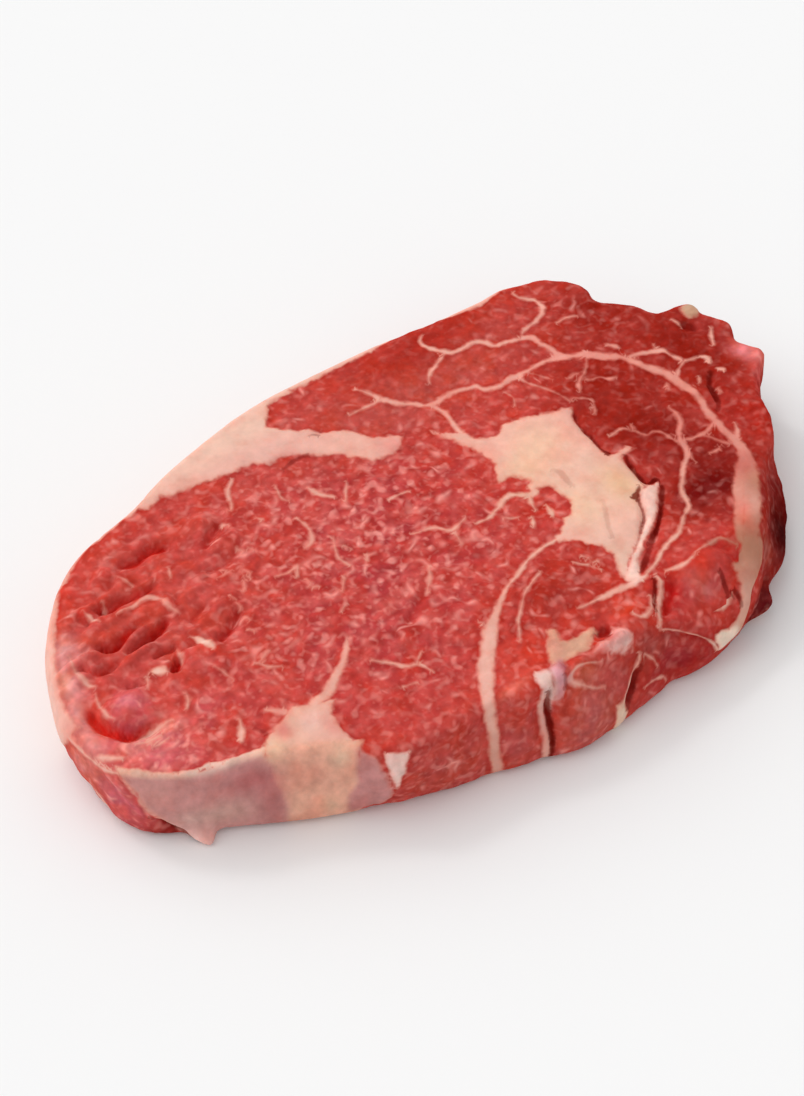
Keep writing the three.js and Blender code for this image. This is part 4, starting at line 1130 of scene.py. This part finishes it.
def fold_relief(places):
    """Long soft folds across the far end of the eye, and the unevenness of cut meat all over."""
    x, y, z = places.T
    upper = smooth_step(20, 25, z)
    bent = np.stack([x, y + ripple(places, 16, 11) * 3, z], axis=1)
    folds = ridged(bent, (17, 4.6, 20), 12)
    fine_folds = ridged(bent, (8, 3.4, 20), 13)
    eye_end = hill(*EYE_END, x, y)
    lift = (FOLD_HEIGHT * folds + FINE_FOLD_HEIGHT * fine_folds) * eye_end * upper
    lift += ridged(places, 5.5, 14) * (LUMP_HEIGHT + EYE_END_LUMPS * eye_end)
    lift += WAVE_HEIGHT * ripple(places, 10, 15)
    lift += GRAIN_HEIGHT * ripple(places, 2.2, 16)
    return lift


def groove_depths(places):
    """Depth of the wall's grooves at each point."""
    around, up, depth = unroll(*places.T)
    total = np.zeros(len(places))
    for points, half, deep in GROOVES:
        path = smooth_path(unrolled_path(points), 6)
        chosen = near_box(around, up, path, 3 * half + 1) & (depth < WALL_DEPTH)
        away, along, _ = from_path(around[chosen], up[chosen], path)
        total[chosen] += deep * bell(away / half) * faded_ends(along, 0.2)
    return total


def shape_slab(mesh, reach):
    """Adds the relief. Returns how deep in a cleft each point is and how far its lean stands out."""
    places = read_vectors(mesh.vertices, "co")
    normals = read_vectors(mesh.vertex_normals, "vector")
    x, y, z = places.T
    rise = np.clip(z / THICKNESS, 0, 1)
    clefts = cleft_depths(x, y) * smooth_step(0.7, 1, rise)
    grooves = groove_depths(places)
    lift = upper_relief(x, y) * rise - clefts
    fat = smooth_step(-0.6, 1.2, reach)
    rough = fold_relief(places) * (1 - FAT_SMOOTHNESS * fat)
    seat = smooth_step(0, 2.5, z)
    freedom = FOOT_RELIEF + (1 - FOOT_RELIEF) * seat
    skin_lift = (rough + FAT_HEIGHT * fat - grooves) * freedom
    dx, dy = scrap_push(x, y, z)
    moved = np.stack([x + dx, y + dy, z + lift], axis=1) + normals * skin_lift[:, None]
    moved[:, 2] = np.maximum(moved[:, 2], 0)
    set_places(mesh, moved)
    return clefts + grooves, rough * (1 - fat)


# ---- Paint ----


def add_numbers(mesh, name, values):
    layer = mesh.attributes.new(name, "FLOAT", "POINT")
    layer.data.foreach_set("value", np.asarray(values, np.float32))


def add_colours(mesh, name, colours):
    layer = mesh.attributes.new(name, "FLOAT_COLOR", "POINT")
    full = np.hstack([colours, np.ones((len(colours), 1))])
    layer.data.foreach_set("color", full.astype(np.float32).ravel())


def dab(places, middle, half):
    """A soft spot of paint in space: 1 at its middle, 0 far away."""
    return bell(np.linalg.norm((places - middle) / half, axis=1))


def tinted(places, colours, tints):
    """The colours with each tint laid over them in turn."""
    for middle, half, colour, strength in tints:
        cover = (strength * dab(places, middle, half))[:, None]
        colours = colours * (1 - cover) + seen_colour(colour) * cover
    return colours


def marbling(places):
    """How much marbling the lean has at each point."""
    amount = np.full(len(places), PLAIN_MARBLING)
    for middle, half, value, strength in MARBLED:
        cover = strength * dab(places, middle, half)
        amount = amount * (1 - cover) + value * cover
    return amount


def paint_slab(mesh, plain, fat, hollows, rough):
    """Keeps the fat's distances and the meat's colours on the mesh's points."""
    lean = tinted(plain, seen_colour(LEAN_BASE), LEAN_TINTS)
    # Painted shade: the lean is darkened towards CLEFT_SHADE down in the clefts.
    painted_cleft_shade = smooth_step(0.4, 2.8, hollows)[:, None]
    lean = lean * (1 - painted_cleft_shade) + lean * np.array(CLEFT_SHADE) * painted_cleft_shade
    # Painted light: the lean is lighter on the crests of its relief.
    lean = lean * (1 + CREST_LIGHT * smooth_step(0.1, 1.2, rough)[:, None])
    add_colours(mesh, "lean_colour", lean)
    reach, own, cover = fat
    common = tinted(plain, seen_colour(FAT_BASE), FAT_TINTS)
    add_colours(mesh, "fat_colour", tinted(plain, common * (1 - cover) + own, SKIN_TINTS))
    add_numbers(mesh, "marbling", marbling(plain) * (1 - 0.8 * painted_cleft_shade[:, 0]))
    add_numbers(mesh, "fat_reach", reach)
    add_numbers(mesh, "fat_own", cover[:, 0])
    strands = strand_distances(plain, SEAMS, WALL_STRANDS)
    # thin strands are up to a fifth narrower than listed
    strands[:, 2] *= 0.8 + 0.2 * smooth_step(0.4, 1.0, strands[:, 2])
    for name, values in zip(("away", "side", "half"), strands.T):
        add_numbers(mesh, "strand_" + name, values)
    # Where the material paints shade into the creases.
    creases = strand_distances(plain, CREASES, WALL_CREASES)
    for name, values in zip(("away", "side", "half", "dark"), creases.T):
        add_numbers(mesh, "crease_" + name, values)


# ---- Material ----

# Colours that are laid over the painted ones or multiplied with them, as light from 0 to 1.
WARM_PARTS = (1.03, 0.86, 0.74, 1)
COOL_PARTS = (0.98, 1.02, 1.14, 1)
BUNDLE_SEAM = (0.80, 0.17, 0.145, 1)
MARBLING_FAT = (0.92, 0.35, 0.30, 1)
# painted shade that darkens the lean beside the fat
FAT_EDGE_SHADE = (0.88, 0.60, 0.55, 1)
PINK_FAT = (0.96, 0.68, 0.64, 1)
# painted shade in the creases
CREASE_SHADE = (0.34, 0.14, 0.12, 1)

# Layout of the nodes in the editor: how many stand in a row, and their spacing.
NODES_IN_A_ROW = 12
NODE_SPACING = (220, 300)


def node(tree, kind, **values):
    """A shader node beside the last one, with values for its sockets or settings, by name."""
    row, column = divmod(len(tree.nodes), NODES_IN_A_ROW)
    made = tree.nodes.new("ShaderNode" + kind)
    made.location = (column * NODE_SPACING[0], -row * NODE_SPACING[1])
    for key, value in values.items():
        socket = key.replace("_", " ")
        if socket in made.inputs:
            made.inputs[socket].default_value = value
        else:
            setattr(made, key, value)
    return made


def feed(tree, sockets, values):
    """Gives each socket a number or colour of its own, or another node's output."""
    for socket, value in zip(sockets, values):
        if isinstance(value, bpy.types.NodeSocket):
            tree.links.new(value, socket)
        else:
            socket.default_value = value


def maths(tree, operation, *values):
    made = node(tree, "Math", operation=operation)
    feed(tree, made.inputs, values)
    return made.outputs[0]


def vector_maths(tree, operation, *values):
    made = node(tree, "VectorMath", operation=operation)
    feed(tree, made.inputs, values)
    return made.outputs[0]


def product(tree, first, second):
    return maths(tree, "MULTIPLY", first, second)


def scaled_on(tree, value, scale, base):
    """A value times a scale, on top of a base."""
    return maths(tree, "MULTIPLY_ADD", value, scale, base)


def larger(tree, first, second):
    return maths(tree, "MAXIMUM", first, second)


def step_between(tree, value, low, high):
    """A smooth step of a value, from 0 at low to 1 at high."""
    made = node(tree, "MapRange", interpolation_type="SMOOTHSTEP", From_Min=low, From_Max=high)
    feed(tree, [made.inputs["Value"]], [value])
    return made.outputs[0]


def varied_between(tree, value, low, high):
    """The middle part of a noise, where nearly all of its values lie, stretched from low to high."""
    made = node(tree, "MapRange", From_Min=0.3, From_Max=0.7, To_Min=low, To_Max=high)
    feed(tree, [made.inputs["Value"]], [value])
    return made.outputs[0]


def kept_number(tree, name):
    """A number that is kept on the mesh's points."""
    return node(tree, "Attribute", attribute_name=name).outputs["Fac"]


def kept_colour(tree, name):
    return node(tree, "Attribute", attribute_name=name).outputs["Color"]


def noise_node(tree, place, size, detail, roughness):
    """A noise whose blobs are about size millimetres across."""
    made = node(tree, "TexNoise", Scale=1 / size, Detail=detail, Roughness=roughness)
    feed(tree, [made.inputs["Vector"]], [place])
    return made


def noise_of(tree, place, size, detail=1.0, roughness=0.5):
    """Values of such a noise, from 0 to 1."""
    return noise_node(tree, place, size, detail, roughness).outputs[0]


def around_zero(tree, noise_value):
    """A noise's value less its mean."""
    return maths(tree, "SUBTRACT", noise_value, 0.5)


def shifted(tree, place, by):
    return vector_maths(tree, "ADD", place, by)


def blend(tree, amount, first, second, way="MIX"):
    """Two colours mixed, or the second laid over the first in another way."""
    made = node(tree, "Mix", data_type="RGBA", blend_type=way)
    feed(tree, [made.inputs[0], made.inputs[6], made.inputs[7]], [amount, first, second])
    return made.outputs[2]


def toned(tree, colour, tone):
    """A colour multiplied with another colour or with a level."""
    return blend(tree, 1.0, colour, tone, "MULTIPLY")


def millimetre_place(tree):
    """The point's place on the piece, in millimetres."""
    spots = node(tree, "TexCoord")
    scale = node(tree, "Mapping", Scale=(1 / MM, 1 / MM, 1 / MM))
    feed(tree, [scale.inputs["Vector"]], [spots.outputs["Object"]])
    return scale.outputs["Vector"]


def curled_place(tree, place, size, push):
    """Places pushed about by noise, so that what is drawn with them curls."""
    swirl = noise_node(tree, place, size, 0.0, 0.5).outputs["Color"]
    centred = vector_maths(tree, "SUBTRACT", swirl, (0.5, 0.5, 0.5))
    return vector_maths(tree, "MULTIPLY_ADD", centred, (push, push, push), place)


def line_left(tree, name, wobble, raggedness):
    """How far inside a strand or crease a point is, from the distances kept on the mesh."""
    away = kept_number(tree, name + "_away")
    side = kept_number(tree, name + "_side")
    half = kept_number(tree, name + "_half")
    crisp = maths(tree, "ABSOLUTE", side)
    certain = maths(tree, "SUBTRACT", away, 0.45)
    left = maths(tree, "SUBTRACT", half, larger(tree, crisp, certain))
    return scaled_on(tree, wobble, raggedness, left)


def fat_masks(tree, place):
    """How far inside the fat a point is, and how much the fat covers it. Edges are uneven."""
    wobble = around_zero(tree, noise_of(tree, place, 2.3, detail=1.5))
    column = scaled_on(tree, wobble, 2.0, kept_number(tree, "fat_reach"))
    strand = line_left(tree, "strand", wobble, 1.4)
    crisp = step_between(tree, column, -0.6, 0.5)
    soft = step_between(tree, strand, -0.55, 0.6)
    thick = step_between(tree, kept_number(tree, "strand_half"), 0.0, 0.7)
    veiled = product(tree, soft, scaled_on(tree, thick, 0.45, 0.55))
    return larger(tree, column, strand), larger(tree, crisp, veiled)


def painted_crease_shade(tree, place):
    """How much painted shade a crease lays on each point, with ragged edges."""
    wobble = around_zero(tree, noise_of(tree, place, 1.5, detail=2.0))
    shade = step_between(tree, line_left(tree, "crease", wobble, 0.8), -0.45, 0.25)
    return product(tree, shade, kept_number(tree, "crease_dark"))


def bundle_seams(tree, place):
    """Soft seams between curled muscle bundles: how much of a seam each point is."""
    cell = node(tree, "TexVoronoi", feature="DISTANCE_TO_EDGE", Scale=1 / 4.2)
    feed(tree, [cell.inputs["Vector"]], [curled_place(tree, place, 6.0, 2.6)])
    return step_between(tree, cell.outputs["Distance"], 0.42, 0.0)


def specks(tree, place, size, low, offset):
    """Soft pale spots: the peaks of a noise."""
    spots = noise_of(tree, shifted(tree, place, offset), size, detail=0.0)
    return step_between(tree, spots, low, low + 0.28)


def streaks(tree, place, amount):
    """Short soft streaks: the middle values of one noise, kept at the peaks of another."""
    off = around_zero(tree, noise_of(tree, place, 4.6, detail=0.0))
    line = step_between(tree, maths(tree, "ABSOLUTE", off), 0.15, -0.03)
    patches = noise_of(tree, shifted(tree, place, (40, 7, 3)), 4.0, detail=0.0)
    rarity = scaled_on(tree, amount, -0.20, 0.68)
    kept = step_between(tree, maths(tree, "SUBTRACT", patches, rarity), -0.08, 0.26)
    present = step_between(tree, amount, 0.02, 0.3)
    return product(tree, product(tree, line, kept), present)


def flecks(tree, place, amount):
    """Marbling: streaks of fat with blobs and small spots between them."""
    blobs = specks(tree, place, 2.4, 0.55, (11, 5, 9))
    small = specks(tree, place, 1.4, 0.54, (3, 8, 1))
    spotted = product(tree, scaled_on(tree, small, 0.45, blobs), amount)
    return larger(tree, streaks(tree, place, amount), spotted)


def lean_tone(tree, place, seam, amount):
    """The lean's own colour in warm and cool, dark and bright parts, with pale seams."""
    warm = step_between(tree, noise_of(tree, place, 7.0, detail=2.0), 0.36, 0.66)
    hue = blend(tree, warm, COOL_PARTS, WARM_PARTS)
    hued = toned(tree, kept_colour(tree, "lean_colour"), hue)
    level = varied_between(tree, noise_of(tree, place, 2.4, roughness=0.4), 0.79, 1.18)
    grained = scaled_on(tree, amount, 0.6, 0.35)
    lean = blend(tree, grained, hued, toned(tree, hued, level))
    broken = step_between(tree, noise_of(tree, place, 5.0), 0.36, 0.62)
    share = product(tree, product(tree, seam, broken), 0.5)
    return blend(tree, product(tree, share, amount), lean, BUNDLE_SEAM)


def marbled_lean(tree, place, lean, marble):
    """The lean with its marbling, lighter and darker in small patches."""
    veined = blend(tree, product(tree, marble, 0.76), lean, MARBLING_FAT)
    patches = noise_of(tree, shifted(tree, place, (5, 9, 2)), 1.9)
    return toned(tree, veined, varied_between(tree, patches, 0.91, 1.09))


def shade_by_fat(tree, lean, depth):
    """The lean, darker in a narrow strip of painted shade beside the fat."""
    share = product(tree, step_between(tree, depth, -1.9, -0.7), 0.45)
    return blend(tree, share, lean, toned(tree, lean, FAT_EDGE_SHADE))


def fat_tone(tree, place, depth):
    """The fat's own colour, pinker at its edges and in clouds. Membranes are the more mottled."""
    colour = kept_colour(tree, "fat_colour")
    pinker = toned(tree, colour, PINK_FAT)
    cloudy = noise_of(tree, place, 7.0, detail=3.0, roughness=0.55)
    clouds = step_between(tree, cloudy, 0.42, 0.70)
    mottled = blend(tree, product(tree, clouds, 0.45), colour, pinker)
    near_edge = step_between(tree, depth, 1.2, -0.2)
    rimmed = blend(tree, product(tree, near_edge, 0.85), mottled, pinker)
    upright = node(tree, "Mapping", Scale=(1, 1, 0.75))
    feed(tree, [upright.inputs["Vector"]], [place])
    spots = noise_of(tree, upright.outputs[0], 3.4, detail=3.0, roughness=0.55)
    contrast = scaled_on(tree, kept_number(tree, "fat_own"), 0.4, 0.35)
    level = scaled_on(tree, around_zero(tree, spots), contrast, 1.0)
    return toned(tree, rimmed, level)


def meat_colour(tree, place, masks):
    """The lean with its marbling and painted shade beside the fat, the fat over it, and painted shade
    in the creases over both.
    """
    lean = lean_tone(tree, place, masks["seam"], masks["amount"])
    marbled = marbled_lean(tree, place, lean, masks["marble"])
    shaded = shade_by_fat(tree, marbled, masks["depth"])
    meat = blend(tree, masks["fat"], shaded, fat_tone(tree, place, masks["depth"]))
    return blend(tree, masks["crease"], meat, toned(tree, meat, CREASE_SHADE))


def meat_height(tree, place, masks):
    """Height of the fine relief: domed bundles and grain on the lean, a smoother fat, creases."""
    grain = noise_of(tree, place, 2.0, roughness=0.4)
    domed = scaled_on(tree, masks["seam"], -0.45, grain)
    veined = scaled_on(tree, masks["marble"], 0.2, domed)
    fatty = scaled_on(tree, noise_of(tree, place, 2.6, detail=3.0), 0.9, 0.5)
    mixed = node(tree, "Mix")
    feed(tree, [mixed.inputs[0], mixed.inputs[2], mixed.inputs[3]], [masks["fat"], veined, fatty])
    return scaled_on(tree, masks["crease"], -1.2, mixed.outputs[0])


def meat_masks(tree, place):
    """What the colour and the relief share, by name."""
    amount = kept_number(tree, "marbling")
    depth, fat = fat_masks(tree, place)
    return {
        "amount": amount,
        "depth": depth,
        "fat": fat,
        "seam": bundle_seams(tree, place),
        "marble": flecks(tree, place, amount),
        "crease": painted_crease_shade(tree, place),
    }


def raw_meat():
    """Raw lean and fat with a little light inside them and a very thin wet coat."""
    material = bpy.data.materials.new("raw_meat")
    material.use_nodes = True
    tree = material.node_tree
    shader = tree.nodes["Principled BSDF"]
    place = millimetre_place(tree)
    masks = meat_masks(tree, place)
    roughness = varied_between(tree, noise_of(tree, place, 3.0, detail=2.0), 0.28, 0.5)
    bump = node(tree, "Bump", Strength=0.3, Distance=0.0006)
    feed(tree, [bump.inputs["Height"]], [meat_height(tree, place, masks)])
    looks = {
        "Base Color": meat_colour(tree, place, masks),
        "Roughness": roughness,
        "Normal": bump.outputs["Normal"],
        "Subsurface Weight": 0.25,
        "Subsurface Radius": (1.0, 0.3, 0.2),
        "Subsurface Scale": 0.0025,
        "Specular IOR Level": 0.0,
        "Coat Weight": 0.003,
        "Coat Roughness": 0.12,
    }
    feed(tree, [shader.inputs[name] for name in looks], looks.values())
    shader.location = (NODES_IN_A_ROW * NODE_SPACING[0], 0)
    tree.nodes["Material Output"].location = ((NODES_IN_A_ROW + 2) * NODE_SPACING[0], 0)
    return material


# ---- Stage ----

# The camera's turn about the steak and its rise over the table in degrees, the length of its lens,
# and its place in millimetres.
CAMERA_TURN = -38.8
CAMERA_RISE = 50
CAMERA_LENS = 90
CAMERA_PLACE = (-290.733, -347.123, 555.878)

# The table's half width in metres, and its paint.
TABLE_SIZE = 3
TABLE_PAINT = (0.86, 0.86, 0.86, 1)


def pale_table():
    """The plain floor under the steak."""
    form = bmesh.new()
    bmesh.ops.create_grid(form, x_segments=1, y_segments=1, size=TABLE_SIZE)
    mesh = bpy.data.meshes.new("table")
    form.to_mesh(mesh)
    form.free()
    table = bpy.data.objects.new("table", mesh)
    bpy.context.scene.collection.objects.link(table)
    material = bpy.data.materials.new("pale_table")
    material.use_nodes = True
    shader = material.node_tree.nodes["Principled BSDF"]
    shader.inputs["Base Color"].default_value = TABLE_PAINT
    shader.inputs["Roughness"].default_value = 0.9
    mesh.materials.append(material)


def soft_sun(towards, spread, strength):
    """A broad even light from one direction, as from a large softbox far away."""
    lamp = bpy.data.lights.new("softbox", "SUN")
    lamp.angle = math.radians(spread)
    lamp.energy = strength
    holder = bpy.data.objects.new("softbox", lamp)
    holder.rotation_euler = Vector(towards).to_track_quat("Z", "Y").to_euler()
    bpy.context.scene.collection.objects.link(holder)


def soft_room(strength):
    """Even white light from all round."""
    world = bpy.data.worlds.new("room")
    world.use_nodes = True
    background = world.node_tree.nodes["Background"]
    background.inputs["Color"].default_value = (1, 1, 1, 1)
    background.inputs["Strength"].default_value = strength
    bpy.context.scene.world = world


def add_camera():
    turn = math.radians(CAMERA_TURN)
    rise = math.radians(CAMERA_RISE)
    flat = math.cos(rise)
    back = Vector((math.sin(turn) * flat, -math.cos(turn) * flat, math.sin(rise)))
    lens = bpy.data.cameras.new("camera")
    lens.lens = CAMERA_LENS
    camera = bpy.data.objects.new("camera", lens)
    camera.location = Vector(CAMERA_PLACE) * MM
    camera.rotation_euler = (-back).to_track_quat("-Z", "Y").to_euler()
    bpy.context.scene.collection.objects.link(camera)
    bpy.context.scene.camera = camera


# ---- Build ----


def ribeye_steak():
    skin = plain_slab()
    relax(skin, RELAX_ROUNDS)
    plain = read_vectors(skin.vertices, "co")
    fat = column_reach(plain)
    hollows, rough = shape_slab(skin, fat[0])
    paint_slab(skin, plain, fat, hollows, rough)
    skin.transform(Matrix.Scale(MM, 4) @ Matrix.Translation((-MIDDLE[0], -MIDDLE[1], 0)))
    skin.shade_smooth()
    skin.materials.clear()
    skin.materials.append(raw_meat())
    skin.name = "ribeye"
    ribeye = bpy.data.objects.new("ribeye", skin)
    bpy.context.scene.collection.objects.link(ribeye)
    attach(ribeye, "root")
    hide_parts("steak")


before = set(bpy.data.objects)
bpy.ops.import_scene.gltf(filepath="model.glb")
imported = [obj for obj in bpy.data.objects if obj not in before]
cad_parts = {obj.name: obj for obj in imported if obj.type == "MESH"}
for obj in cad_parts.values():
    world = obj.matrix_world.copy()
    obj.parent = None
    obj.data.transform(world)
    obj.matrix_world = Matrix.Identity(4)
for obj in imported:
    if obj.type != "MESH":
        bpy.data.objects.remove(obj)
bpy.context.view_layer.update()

ribeye_steak()
pale_table()
soft_sun(towards=(-0.35, 0.6, 0.75), spread=75, strength=1.3)
soft_sun(towards=(-0.12, 0.6, 0.75), spread=9, strength=0.3)
soft_room(strength=0.72)
add_camera()
bpy.context.scene.view_settings.view_transform = "Standard"
